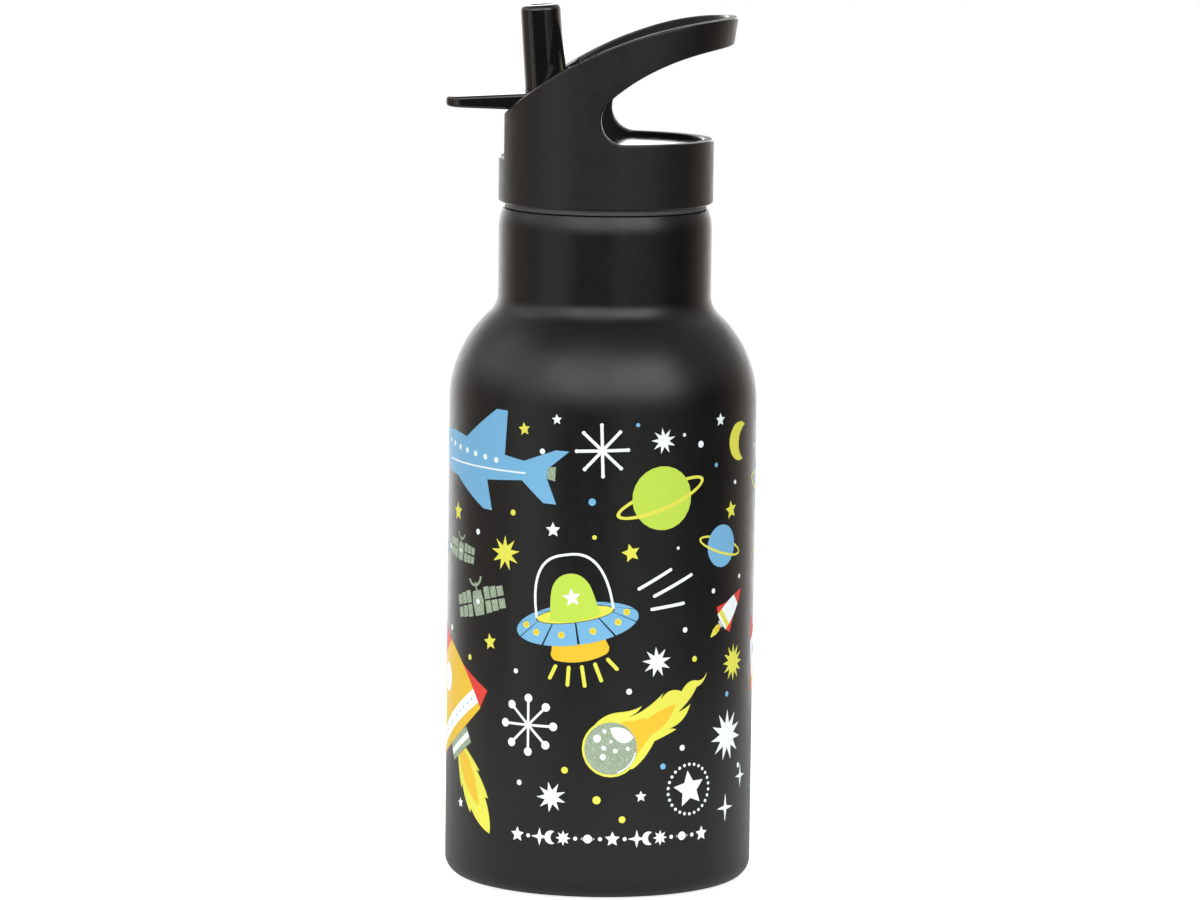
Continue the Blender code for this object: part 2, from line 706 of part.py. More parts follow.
def main():
    clear_scene()
    paint = material("powder_coat", (0.012, 0.012, 0.013), 0.45)
    steel = material("stainless_steel", (0.62, 0.61, 0.59), 0.28, metallic=1.0)
    tin = material("tin_solder", (0.55, 0.55, 0.56), 0.40, metallic=1.0)
    getter_metal = material("getter_alloy", (0.30, 0.29, 0.28), 0.60, metallic=1.0)
    matte = material("matte_black_plastic", (0.015, 0.015, 0.014), 0.50)
    glossy = material("glossy_black_plastic", (0.008, 0.008, 0.009), 0.15)
    silicone = material("grey_silicone", (0.10, 0.10, 0.10), 0.55)
    clear = material("straw_plastic", (0.75, 0.76, 0.76), 0.35)

    make_outer_shell(paint)
    make_inner_liner(steel)
    make_bottom_parts(paint, steel, tin, getter_metal)
    gather_lid([
        make_lid_shell(matte),
        make_lid_core(glossy),
        make_gasket(silicone),
        make_straw(clear),
        make_spout(glossy),
        make_spout_seal(silicone),
        make_vent_valve(silicone)])
    for item in bpy.data.objects:
        if item.type == "MESH":
            item.data.shade_smooth()
            item.data.set_sharp_from_angle(angle=SHARP_ANGLE)


main()
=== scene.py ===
"""Looks of an insulated kids' drinking bottle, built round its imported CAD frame.

Everything is in metres in the CAD's own frame: +Z up from the base, +X towards the closed end of
the lid's carrying loop, and -Y the side that the camera sees. Angles round the bottle are measured
from -Y towards +X.
"""

import json
import math
import random

import bmesh
import bpy
from mathutils import Matrix, Vector


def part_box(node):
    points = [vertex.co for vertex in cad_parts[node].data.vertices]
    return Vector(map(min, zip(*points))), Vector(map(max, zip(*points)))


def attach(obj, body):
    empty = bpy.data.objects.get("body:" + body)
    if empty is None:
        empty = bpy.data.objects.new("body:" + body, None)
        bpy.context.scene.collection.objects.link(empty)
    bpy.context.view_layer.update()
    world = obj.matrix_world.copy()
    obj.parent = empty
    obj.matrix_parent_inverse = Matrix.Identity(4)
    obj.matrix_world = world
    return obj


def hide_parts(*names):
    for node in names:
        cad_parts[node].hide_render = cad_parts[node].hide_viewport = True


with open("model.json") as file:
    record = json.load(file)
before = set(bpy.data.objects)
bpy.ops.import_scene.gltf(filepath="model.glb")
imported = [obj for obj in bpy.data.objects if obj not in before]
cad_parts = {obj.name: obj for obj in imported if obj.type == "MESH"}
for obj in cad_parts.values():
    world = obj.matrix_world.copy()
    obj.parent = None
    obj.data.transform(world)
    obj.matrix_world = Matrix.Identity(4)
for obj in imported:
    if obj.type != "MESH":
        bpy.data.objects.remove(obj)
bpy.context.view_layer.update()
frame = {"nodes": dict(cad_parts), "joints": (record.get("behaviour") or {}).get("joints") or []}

# Bottle, from the CAD's own boxes where they say it
BODY_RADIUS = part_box("outer_shell")[1].x
LIP_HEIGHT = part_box("outer_shell")[1].z
LID_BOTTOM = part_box("lid_shell")[0].z
PLUG_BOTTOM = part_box("lid_core")[0].z
FLOOR_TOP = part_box("lid_core")[1].z
FLOOR_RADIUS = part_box("lid_core")[1].x
BASE_CAP_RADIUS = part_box("base_cap")[1].x
BASE_CAP_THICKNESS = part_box("base_cap")[1].z
NECK_RADIUS = 0.02357
BASE_FILLET = 0.0040
SHOULDER_START = 0.1060
SHOULDER_RADIUS = 0.0260
NECK_FILLET = 0.0060
LIP_CURVE_START = 0.14393
LIP_CURVE_RADIUS = 0.0117
LIP_INNER_RADIUS = 0.0204
LIP_EDGE = 0.0003
WALL = 0.0006
BASE_OPENING_RADIUS = 0.0285

# Lid
LID_RADIUS = 0.02365
LID_WALL = 0.0025
RING_TOP = 0.1641
LOOP_SHIFT = 0.0046
LOOP_FLARE = 0.147
LOOP_FLARE_HEIGHT = 0.1880
TOP_ARC_X = 0.0330
TOP_ARC_Z = 0.1095
TOP_ARC_RADIUS = 0.0817
UNDER_ARC_X = 0.0335
UNDER_ARC_Z = 0.1361
OPENING_ROUND = 0.0053
SLOT_HALF_WIDTH = 0.0084
SLOT_BOTTOM = 0.1599
CHEEK_END_X = -0.0075
CHEEK_STEP = 0.0002
POLISH = "polish"
LID_EDGE = 0.00038
CLEARANCE = 0.0003

# Plug and gasket
PLUG_RADIUS = 0.0178
PLUG_WALL = 0.0016
FLANGE_GAP = 0.00035
FLANGE_THICKNESS = 0.0016
FLOOR_THICKNESS = 0.0016
THREAD_PITCH = 0.0040
THREAD_TURNS = 1.5
THREAD_START = 0.1385
THREAD_DEPTH = 0.0012
THREAD_ROOT_WIDTH = 0.0018
THREAD_TIP_WIDTH = 0.0008
GASKET_OUTER_RADIUS = 0.0222
GASKET_INNER_RADIUS = 0.0182
VENT_X = -0.0032
VENT_RADIUS = 0.0008
STRAW_X = -0.0126
STRAW_HOLE_RADIUS = 0.0035
STRAW_HOLE_TOP = 0.1605
SOCKET_RADIUS = 0.0046
SOCKET_BOTTOM = 0.1530

# Mouthpiece
PIVOT_X, _, PIVOT_Z = frame["joints"][-1]["pos_m"]
BARREL_RADIUS = 0.0056
BARREL_HALF_LENGTH = 0.0080
TRUNNION_RADIUS = 0.0020
TRUNNION_END = 0.0106
TRUNNION_HOLE_RADIUS = 0.00235
SPOUT_LEAN = math.radians(4.3)
SPOUT_LENGTH = 0.0236
SPOUT_BASE_SIZE = (0.0094, 0.0138)
SPOUT_TIP_SIZE = (0.0091, 0.0132)
SPOUT_ROUNDNESS = 0.75
SPOUT_TIP_ROUND = 0.0011
BORE_RADIUS = 0.0023
SEAT_RECESS_RADIUS = 0.0051
SEAT_DEPTH = 0.0009
TAB_TIP_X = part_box("spout")[0].x
TAB_HALF_WIDTH = 0.0070
TAB_CORNER = 0.0045
TAB_TIP_TOP = 0.1728
TAB_TIP_UNDER = 0.1706
TAB_TOP_SLOPE = 0.0585
TAB_UNDER_SLOPE = 0.0222
TAB_EDGE = 0.00065

# Printed decoration: the ink lies in layers on a coat that is this much thinner than the CAD's
INK_ROOM = 0.00006
INK_LAYER = 0.000017
INK_STEP = 0.0010

SEGMENTS = 192
FLOOR_DISC_RADIUS = 0.26


# ---- Camera and light -------------------------------------------------------------------------

def make_camera():
    """A long lens at the height of a standing viewer's hand, rolled a little."""
    place = Vector((0.0733, -1.3981, 0.2700))
    target = Vector((0.0, 0.0, 0.09474))
    roll = math.radians(0.75)
    side_step = -0.00054
    forward = (target - place).normalized()
    right = forward.cross(Vector((0.0, 0.0, 1.0))).normalized()
    up = right.cross(forward)
    place = place + right * side_step
    rolled_right = math.cos(roll) * right + math.sin(roll) * up
    rolled_up = math.cos(roll) * up - math.sin(roll) * right
    lens = bpy.data.cameras.new("camera")
    lens.sensor_width = 36.0
    lens.lens = 191.2
    lens.clip_start = 0.05
    lens.clip_end = 100.0
    camera = bpy.data.objects.new("camera", lens)
    bpy.context.scene.collection.objects.link(camera)
    turn = Matrix((rolled_right, rolled_up, -forward)).transposed().to_4x4()
    camera.matrix_world = Matrix.Translation(place) @ turn
    bpy.context.scene.camera = camera


def soft_light(name, azimuth, elevation, strength, spread):
    """A far, wide light. The spread is the angle that it fills as seen from the bottle."""
    lamp = bpy.data.lights.new(name, "SUN")
    lamp.energy = strength
    lamp.angle = math.radians(spread)
    item = bpy.data.objects.new(name, lamp)
    bpy.context.scene.collection.objects.link(item)
    a, e = math.radians(azimuth), math.radians(elevation)
    towards = Vector((math.sin(a) * math.cos(e), -math.cos(a) * math.cos(e), math.sin(e)))
    item.rotation_euler = towards.to_track_quat("Z", "Y").to_euler()


# How bright the studio is round the bottle: (azimuth in degrees, level, warmth). The horizon has
# the white sweep behind the bottle and dark flags at its sides, and the canopy has the softboxes.
HORIZON = ((-180, 2.3, 0.0), (-152, 2.0, 0.0), (-134, 0.85, 0.2), (-112, 0.22, 1.0), (-84, 0.32, 0.8),
           (-70, 0.10, 0.2), (-65, 1.35, 0.2), (-60, 0.10, 0.2), (-50, 1.15, 0.0),
           (-45, 0.06, 0.0), (-37, 0.80, 0.0), (-32, 0.06, 0.0), (-20, 0.04, 0.0), (10, 0.04, 0.0), (20, 0.55, 0.3),
           (30, 0.22, 0.0), (48, 0.24, 0.0), (78, 0.03, 0.0), (104, 0.04, 1.0), (134, 0.40, 0.8),
           (150, 0.95, 0.2), (165, 2.0, 0.0), (180, 2.3, 0.0))
CANOPY = ((-180, 0.60, 0.0), (-125, 0.50, 0.3), (-105, 1.30, 0.1), (-60, 1.35, 0.0), (-32, 1.95, 0.0),
          (-8, 1.85, 0.0), (6, 1.35, 0.0), (24, 2.60, -0.1), (54, 3.30, -0.1), (74, 0.50, 0.0),
          (90, 0.30, 0.3), (180, 0.60, 0.0))


def make_world():
    """A studio with a bright sweep behind the bottle and a broad softbox above its front."""
    world = bpy.data.worlds.new("studio")
    bpy.context.scene.world = world
    world.use_nodes = True
    nodes = world.node_tree.nodes
    link = world.node_tree.links.new

    def math_node(operation, first, second):
        node = nodes.new("ShaderNodeMath")
        node.operation = operation
        link(first, node.inputs[0])
        if isinstance(second, float):
            node.inputs[1].default_value = second
        else:
            link(second, node.inputs[1])
        return node.outputs[0]

    def ease(value, low, high):
        node = nodes.new("ShaderNodeMapRange")
        node.interpolation_type = "SMOOTHSTEP"
        node.inputs["From Min"].default_value = low
        node.inputs["From Max"].default_value = high
        link(value, node.inputs["Value"])
        return node.outputs["Result"]

    def blend(factor, first, second):
        node = nodes.new("ShaderNodeMix")
        node.data_type = "RGBA"
        link(factor, node.inputs["Factor"])
        for name, value in (("A", first), ("B", second)):
            if isinstance(value, float):
                node.inputs[name].default_value = (value, value, value, 1.0)
            else:
                link(value, node.inputs[name])
        return node.outputs["Result"]

    def levels(table):
        ramp = nodes.new("ShaderNodeValToRGB")
        stops = ramp.color_ramp.elements
        while len(stops) < len(table):
            stops.new(0.5)
        for stop, (angle, level, warmth) in zip(stops, table):
            stop.position = 0.5 + angle / 360.0
            stop.color = (level * (1 + 0.22 * warmth), level, level * (1 - 0.24 * warmth), 1.0)
        link(turn, ramp.inputs[0])
        return ramp.outputs[0]

    split = nodes.new("ShaderNodeSeparateXYZ")
    link(nodes.new("ShaderNodeTexCoord").outputs["Generated"], split.inputs[0])
    back = math_node("MULTIPLY", split.outputs["Y"], -1.0)
    angle = math_node("ARCTAN2", split.outputs["X"], back)
    turn = math_node("ADD", math_node("DIVIDE", angle, math.tau), 0.5)
    height = split.outputs["Z"]
    lit = blend(ease(height, 0.10, 0.36), levels(HORIZON), levels(CANOPY))
    lit = blend(ease(height, 0.60, 0.86), lit, 0.30)
    seen = nodes.new("ShaderNodeLightPath").outputs["Is Camera Ray"]
    link(blend(seen, lit, 1.0), nodes["Background"].inputs["Color"])


def make_stage():
    """A round white table, lit evenly like the sweep behind it."""
    mesh = bpy.data.meshes.new("floor")
    work = bmesh.new()
    bmesh.ops.create_circle(work, cap_ends=True, segments=96, radius=FLOOR_DISC_RADIUS)
    work.to_mesh(mesh)
    work.free()
    floor = bpy.data.objects.new("floor", mesh)
    bpy.context.scene.collection.objects.link(floor)
    floor.location.z = -0.0002
    look = Look("floor_paper", (0.86, 0.86, 0.86), (0.85, 0.95))
    look.mottle(40.0, 0.01)
    look.grain(900.0, 0.00003)
    look.shader.inputs["Emission Color"].default_value = (1.0, 1.0, 1.0, 1.0)
    path = look.nodes.new("ShaderNodeLightPath")
    glow = look.spread(path.outputs["Is Glossy Ray"], 0.0, 1.0, 0.80, 0.0)
    look.link(glow, look.shader.inputs["Emission Strength"])
    mesh.materials.append(look.material)
    soft_light("front", -8, 35, 0.50, 60)


# ---- Materials --------------------------------------------------------------------------------

class Look:
    """A Principled material whose colour, roughness and relief come from noise in object space."""

    def __init__(self, name, colour, roughness, metallic=0.0, specular=0.5, coat=0.0):
        self.material = bpy.data.materials.new(name)
        self.material.use_nodes = True
        self.nodes = self.material.node_tree.nodes
        self.link = self.material.node_tree.links.new
        self.shader = self.nodes["Principled BSDF"]
        self.shader.inputs["Metallic"].default_value = metallic
        self.shader.inputs["Specular IOR Level"].default_value = specular
        if coat:
            self.shader.inputs["Coat Weight"].default_value = coat
            self.shader.inputs["Coat Roughness"].default_value = 0.08
        self.place = self.nodes.new("ShaderNodeTexCoord").outputs["Object"]
        self.colour = colour
        self.shader.inputs["Base Color"].default_value = (*colour, 1.0)
        low, high = roughness
        self.roughness = self.spread(self.noise(350.0, 5.0), 0.3, 0.7, low, high)
        self.link(self.roughness, self.shader.inputs["Roughness"])
        self.normal = None

    def noise(self, scale, detail=3.0, stretch=None):
        texture = self.nodes.new("ShaderNodeTexNoise")
        texture.inputs["Scale"].default_value = scale
        texture.inputs["Detail"].default_value = detail
        place = self.place
        if stretch:
            mapping = self.nodes.new("ShaderNodeMapping")
            mapping.inputs["Scale"].default_value = stretch
            self.link(place, mapping.inputs["Vector"])
            place = mapping.outputs["Vector"]
        self.link(place, texture.inputs["Vector"])
        return texture.outputs["Fac"]

    def spread(self, value, low, high, to_low, to_high):
        """Map a value from one range to another and stop at its ends."""
        node = self.nodes.new("ShaderNodeMapRange")
        for socket, number in (("From Min", low), ("From Max", high),
                               ("To Min", to_low), ("To Max", to_high)):
            node.inputs[socket].default_value = number
        self.link(value, node.inputs["Value"])
        return node.outputs["Result"]

    def blend(self, factor, first, second):
        """Mix two colours, each a socket or three numbers."""
        node = self.nodes.new("ShaderNodeMix")
        node.data_type = "RGBA"
        self.link(factor, node.inputs["Factor"])
        for socket, value in ((node.inputs["A"], first), (node.inputs["B"], second)):
            if isinstance(value, tuple):
                socket.default_value = (*value, 1.0)
            else:
                self.link(value, socket)
        return node.outputs["Result"]

    def paint(self, colour):
        self.link(colour, self.shader.inputs["Base Color"])

    def mottle(self, scale, amount):
        """Let the colour wander a little to both sides."""
        dark = tuple(value * (1 - amount) for value in self.colour)
        light = tuple(min(1.0, value * (1 + amount)) for value in self.colour)
        self.base = self.blend(self.spread(self.noise(scale, 4.0), 0.3, 0.7, 0.0, 1.0), dark, light)
        self.paint(self.base)

    def grain(self, scale, height, detail=2.0, stretch=None):
        """Add relief of a given height in metres."""
        bump = self.nodes.new("ShaderNodeBump")
        bump.inputs["Strength"].default_value = 1.0
        bump.inputs["Distance"].default_value = height
        self.link(self.noise(scale, detail, stretch), bump.inputs["Height"])
        if self.normal:
            self.link(self.normal, bump.inputs["Normal"])
        self.normal = bump.outputs["Normal"]
        self.link(self.normal, self.shader.inputs["Normal"])

    def scuff(self, mask, colour, roughness):
        """Lighten and roughen the surface where the mask is 1."""
        self.base = self.blend(mask, self.base, colour)
        self.paint(self.base)
        mix = self.nodes.new("ShaderNodeMix")
        self.link(mask, mix.inputs["Factor"])
        self.link(self.roughness, mix.inputs["A"])
        mix.inputs["B"].default_value = roughness
        self.roughness = mix.outputs["Result"]
        self.link(self.roughness, self.shader.inputs["Roughness"])

    def height_mask(self, full, none):
        """1 at one height and 0 at the other."""
        split = self.nodes.new("ShaderNodeSeparateXYZ")
        self.link(self.place, split.inputs[0])
        return self.spread(split.outputs["Z"], full, none, 1.0, 0.0)

    def polish(self, roughness):
        """Smooth the rounded edges, where the mould was polished and hands rub."""
        marked = self.nodes.new("ShaderNodeAttribute")
        marked.attribute_name = POLISH
        mix = self.nodes.new("ShaderNodeMix")
        self.link(marked.outputs["Fac"], mix.inputs["Factor"])
        self.link(self.roughness, mix.inputs["A"])
        mix.inputs["B"].default_value = roughness
        self.roughness = mix.outputs["Result"]
        self.link(self.roughness, self.shader.inputs["Roughness"])

    def both(self, first, second):
        node = self.nodes.new("ShaderNodeMath")
        node.operation = "MULTIPLY"
        self.link(first, node.inputs[0])
        self.link(second, node.inputs[1])
        return node.outputs[0]

    def hairlines(self, stretch, amount):
        """A mask of thin, long scratches."""
        return self.spread(self.noise(900.0, 2.0, stretch), 0.70, 0.76, 0.0, amount)


def powder_coat():
    look = Look("satin_black_coat", (0.0032, 0.0032, 0.0033), (0.28, 0.34), specular=0.5)
    look.mottle(220.0, 0.12)
    look.grain(1500.0, 0.000006)
    look.grain(5200.0, 0.000003)
    specks = look.spread(look.noise(2600.0, 3.0), 0.66, 0.72, 0.0, 1.0)
    look.scuff(look.both(specks, look.height_mask(0.0, 0.0016)), (0.05, 0.05, 0.05), 0.55)
    look.scuff(look.hairlines((1.0, 1.0, 0.06), 0.25), (0.02, 0.02, 0.02), 0.50)
    return look.material


def matte_lid():
    look = Look("matte_black_plastic", (0.0058, 0.0053, 0.0045), (0.36, 0.43), specular=0.5)
    look.mottle(260.0, 0.10)
    look.grain(4200.0, 0.000005)
    look.grain(9000.0, 0.000003)
    look.scuff(look.hairlines((1.0, 1.0, 0.05), 0.2), (0.02, 0.02, 0.02), 0.55)
    look.polish(0.14)
    return look.material


def glossy_lid():
    look = Look("glossy_black_plastic", (0.006, 0.006, 0.0062), (0.07, 0.12), specular=0.75)
    look.mottle(180.0, 0.10)
    look.grain(240.0, 0.000012)
    look.scuff(look.hairlines((1.0, 0.05, 1.0), 0.5), (0.01, 0.01, 0.01), 0.30)
    return look.material


def silicone():
    look = Look("grey_silicone", (0.105, 0.105, 0.100), (0.48, 0.60), specular=0.4)
    look.mottle(400.0, 0.08)
    look.grain(3000.0, 0.000006)
    dust = look.spread(look.noise(3800.0, 2.0), 0.70, 0.74, 0.0, 0.6)
    look.scuff(dust, (0.22, 0.22, 0.21), 0.70)
    return look.material


def steel(name, colour, roughness, stretch):
    look = Look(name, colour, roughness, metallic=1.0)
    look.mottle(300.0, 0.05)
    look.grain(2500.0, 0.000004, stretch=stretch)
    look.scuff(look.hairlines(stretch, 0.4), tuple(value * 0.85 for value in colour), 0.40)
    return look.material


def straw_plastic():
    look = Look("straw_plastic", (0.78, 0.79, 0.78), (0.26, 0.36), specular=0.5)
    look.mottle(200.0, 0.03)
    look.grain(1200.0, 0.000005, stretch=(1.0, 1.0, 0.1))
    look.scuff(look.hairlines((1.0, 1.0, 0.05), 0.3), (0.65, 0.66, 0.65), 0.45)
    return look.material


def ink(name, colour):
    """Screen-printed ink: a faint mesh of the screen in its relief and small pinholes."""
    look = Look("ink_" + name, colour, (0.40, 0.52), specular=0.35)
    look.mottle(900.0, 0.012)
    look.grain(6500.0, 0.000004)
    pinholes = look.spread(look.noise(5200.0, 2.0), 0.76, 0.80, 0.0, 0.45)
    look.scuff(pinholes, tuple(value * 0.5 for value in colour), 0.50)
    return look.material


def glitter_ink(name, colour):
    """Ink filled with small flakes, some painted lighter as painted glints and some painted darker as painted shade,
    for flakes tilted towards or away from the light.
    """
    look = Look("ink_" + name, colour, (0.35, 0.45), specular=0.5)
    look.mottle(900.0, 0.02)
    flakes = look.nodes.new("ShaderNodeTexVoronoi")
    flakes.inputs["Scale"].default_value = 5400.0
    look.link(look.place, flakes.inputs["Vector"])
    split = look.nodes.new("ShaderNodeSeparateColor")
    look.link(flakes.outputs["Color"], split.inputs[0])
    # Painted glints: some flakes get a lighter, smoother colour, as if they caught the light.
    glint_flakes = look.spread(split.outputs[0], 0.55, 1.0, 0.0, 0.75)
    look.scuff(glint_flakes, tuple(min(1.0, value * 1.9) for value in colour), 0.28)
    # Painted shade: other flakes get a darker colour, as if tilted away from the light.
    dark = look.spread(split.outputs[1], 0.70, 1.0, 0.0, 0.5)
    look.scuff(dark, tuple(value * 0.55 for value in colour), 0.45)
    look.grain(4000.0, 0.000010)
    return look.material


# ---- Mesh tools -------------------------------------------------------------------------------

def mesh_from(name, build):
    """A mesh whose bmesh the given function fills, with its faces turned outwards."""
    mesh = bpy.data.meshes.new(name)
    work = bmesh.new()
    build(work)
    bmesh.ops.recalc_face_normals(work, faces=work.faces)
    work.to_mesh(mesh)
    work.free()
    return mesh


def loose(name, mesh):
    made = bpy.data.objects.new(name, mesh)
    bpy.context.scene.collection.objects.link(made)
    return made


def piece(name, mesh, material, body, slot, *nodes):
    """Finish a piece: its material, the body it rides on and the CAD nodes it stands for."""
    made = mesh if isinstance(mesh, bpy.types.Object) else loose(name, mesh)
    made.name = name
    made.data.name = name
    made.data.materials.clear()
    made.data.materials.append(material)
    made.data.shade_smooth()
    made.data.set_sharp_from_angle(angle=math.radians(32))
    weigh = made.modifiers.new("weighted_normals", "WEIGHTED_NORMAL")
    weigh.keep_sharp = True
    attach(made, body)
    if nodes:
        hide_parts(*nodes)
    return made


def arc(centre_r, centre_z, radius, start, end, steps):
    """Points of a circular arc in the (r, z) plane, with its angles in degrees."""
    points = []
    for step in range(steps + 1):
        angle = math.radians(start + (end - start) * step / steps)
        points.append((centre_r + radius * math.cos(angle), centre_z + radius * math.sin(angle)))
    return points


def between(start, end, steps):
    return [start + (end - start) * step / steps for step in range(steps + 1)]


def rounded(outline, radius, steps=4):
    """A closed outline with its corners rounded, except those on the axis."""
    points = []
    count = len(outline)
    for index, corner in enumerate(outline):
        here = Vector(corner)
        back = Vector(outline[index - 1]) - here
        ahead = Vector(outline[(index + 1) % count]) - here
        if corner[0] == 0.0:
            points.append(corner)
            continue
        cut = min(radius, back.length * 0.45, ahead.length * 0.45)
        start = here + back.normalized() * cut
        end = here + ahead.normalized() * cut
        for share in between(0.0, 1.0, steps):
            points.append(tuple(start.lerp(here, share).lerp(here.lerp(end, share), share)))
    return points


def lathe(name, profile, segments=SEGMENTS, centre_x=0.0):
    """A profile of (r, z) points, closed on itself or ending on the axis, turned about Z."""
    open_profile = profile[0][0] == 0.0 and profile[-1][0] == 0.0

    def build(work):
        rings = []
        for radius, z in profile:
            count = 1 if radius == 0.0 else segments
            rings.append([work.verts.new((
                centre_x + radius * math.cos(math.tau * step / segments),
                radius * math.sin(math.tau * step / segments), z)) for step in range(count)])
        pairs = list(zip(rings, rings[1:]))
        if not open_profile:
            pairs.append((rings[-1], rings[0]))
        for low, high in pairs:
            for step in range(segments):
                after = (step + 1) % segments
                corners = [low[step % len(low)], low[after % len(low)],
                           high[after % len(high)], high[step % len(high)]]
                distinct = list(dict.fromkeys(corners))
                if len(distinct) > 2:
                    work.faces.new(distinct)

    return mesh_from(name, build)


def loft(name, sections):
    """Rings with the same number of points, joined in turn and closed at both ends."""

    def build(work):
        rings = [[work.verts.new(point) for point in section] for section in sections]
        work.faces.new(rings[0])
        work.faces.new(rings[-1])
        for low, high in zip(rings, rings[1:]):
            for step in range(len(low)):
                after = (step + 1) % len(low)
                work.faces.new((low[step], low[after], high[after], high[step]))

    return mesh_from(name, build)


def round_edges(work, radius, segments=4, least=40):
    """Bevel every edge that is sharper than an angle in degrees."""
    polish = work.faces.layers.float.new(POLISH)
    edges = [edge for edge in work.edges if edge.calc_face_angle(0.0) > math.radians(least)]
    made = bmesh.ops.bevel(work, geom=edges, offset=radius, segments=segments, profile=0.5,
                           affect="EDGES", clamp_overlap=True)
    for face in made["faces"]:
        face[polish] = 1.0


def combine(base, tool, operation):
    """Apply a Boolean to the base object and remove the tool."""
    change = base.modifiers.new("combine", "BOOLEAN")
    change.operation = operation
    change.solver = "MANIFOLD"
    change.object = tool
    bpy.context.view_layer.update()
    evaluated = base.evaluated_get(bpy.context.evaluated_depsgraph_get())
    mesh = bpy.data.meshes.new_from_object(evaluated)
    base.modifiers.clear()
    base.data = mesh
    bpy.data.objects.remove(tool, do_unlink=True)
    return base


def peg(name, radius, low, high, centre_x=0.0, segments=72):
    """A cylinder along Z, used to join or to cut."""
    return loose(name, lathe(name, [(0.0, low), (radius, low), (radius, high), (0.0, high)],
                             segments, centre_x))


def along_pivot(item, centre_y=0.0):
    """Lay a shape made round the Z axis along the mouthpiece's pivot line."""
    item.data.transform(Matrix.Rotation(math.pi / 2, 4, "X"))
    item.data.transform(Matrix.Translation((PIVOT_X, centre_y, PIVOT_Z)))
    return item


# ---- Bottle -----------------------------------------------------------------------------------

def wall_line(depth, bottom, top, steps):
    """The bottle's side at a depth inside its outer surface, from the bottom to the top."""
    fillet_r = NECK_RADIUS + NECK_FILLET
    reach = SHOULDER_RADIUS + NECK_FILLET
    arc_r = BODY_RADIUS - SHOULDER_RADIUS
    rise = math.sqrt(reach ** 2 - (fillet_r - arc_r) ** 2)
    turn = math.degrees(math.atan2(rise, fillet_r - arc_r))
    straight = [(BODY_RADIUS - depth, z) for z in between(bottom, SHOULDER_START, 24)][:-1]
    line = straight + arc(arc_r, SHOULDER_START, SHOULDER_RADIUS - depth, 0, turn, steps)
    line += arc(fillet_r, SHOULDER_START + rise, NECK_FILLET + depth, 180 + turn, 180, steps // 2)[1:]
    line.append((NECK_RADIUS - depth, top))
    return line


def make_bottle_wall(material):
    """The coated outer wall from the foot ring to the rolled lip."""
    foot_r = BODY_RADIUS - BASE_FILLET
    lip_r = NECK_RADIUS - LIP_CURVE_RADIUS

    def lip_curve(depth, top):
        radius = LIP_CURVE_RADIUS - depth
        end = math.degrees(math.asin((top - LIP_CURVE_START) / radius))
        return arc(lip_r, LIP_CURVE_START, radius, 0, end, 10)[1:]

    outside = arc(foot_r, BASE_FILLET, BASE_FILLET - INK_ROOM, -90, 0, 14)[:-1]
    outside[0] = (foot_r, 0.0)
    outside += wall_line(INK_ROOM, BASE_FILLET, LIP_CURVE_START, 28)
    outside += lip_curve(INK_ROOM, LIP_HEIGHT - LIP_EDGE)
    last_r, last_z = outside[-1]
    outside += arc(last_r - LIP_EDGE, last_z, LIP_EDGE, 0, 90, 4)[1:]
    inside = wall_line(WALL, BASE_FILLET, LIP_CURVE_START, 12)
    inside += lip_curve(WALL, LIP_HEIGHT - WALL)
    foot_inside = arc(foot_r, BASE_FILLET, BASE_FILLET - WALL, -90, 0, 6)[:-1]
    profile = [(BASE_OPENING_RADIUS, 0.0), *outside, (LIP_INNER_RADIUS, LIP_HEIGHT),
               (LIP_INNER_RADIUS, LIP_HEIGHT - WALL), *reversed(inside), *reversed(foot_inside),
               (BASE_OPENING_RADIUS, WALL)]
    piece("bottle_wall", lathe("bottle_wall", profile), material, "bottle", "powder_coat",
          "outer_shell")


def make_foot_disc(material):
    """The coated disc inside the foot ring, with two shallow pressed rings."""
    top = BASE_CAP_THICKNESS
    under = [(0.0, 0.0004), (0.0080, 0.0004), (0.0088, 0.0), (0.0200, 0.0), (0.0204, 0.0003),
             (0.0212, 0.0003), (0.0216, 0.0)]
    profile = under + [(BASE_CAP_RADIUS, 0.0), (BASE_CAP_RADIUS, top), (0.0, top)]
    piece("foot_disc", lathe("foot_disc", rounded(profile, 0.0002, 3)), material, "bottle",
          "powder_coat", "base_cap")


# ---- Lid --------------------------------------------------------------------------------------

def loop_top(x):
    return TOP_ARC_Z + math.sqrt(TOP_ARC_RADIUS ** 2 - (x - TOP_ARC_X) ** 2)


def opening_edges(x):
    """Heights of the finger opening's lower and upper edge at a place along the lid."""
    centre_x = OPENING_ROUND
    centre_z = RING_TOP + OPENING_ROUND
    from_under = math.hypot(UNDER_ARC_X - centre_x, UNDER_ARC_Z - centre_z)
    under_radius = from_under + OPENING_ROUND
    meet_x = UNDER_ARC_X + (centre_x - UNDER_ARC_X) * under_radius / from_under
    drop = math.sqrt(max(0.0, OPENING_ROUND ** 2 - (x - centre_x) ** 2))
    low = centre_z - drop if x < centre_x else RING_TOP
    if x < meet_x:
        return low, centre_z + drop
    return low, UNDER_ARC_Z + math.sqrt(under_radius ** 2 - (x - UNDER_ARC_X) ** 2)


def arm_split(x):
    """A line across the arms that ends at the tip of the finger opening."""
    share = (RING_TOP + OPENING_ROUND - SLOT_BOTTOM) / (loop_top(0.0) - SLOT_BOTTOM)
    return SLOT_BOTTOM + share * (loop_top(x) - SLOT_BOTTOM)


def on_circle(outer_angle, inner_angle, shift=0.0):
    """The outer and the inner point of the lid's wall, seen from above."""
    inner_radius = LID_RADIUS - LID_WALL
    outer = (shift + LID_RADIUS * math.cos(outer_angle), LID_RADIUS * math.sin(outer_angle))
    inner = (shift + inner_radius * math.cos(inner_angle), inner_radius * math.sin(inner_angle))
    return outer, inner


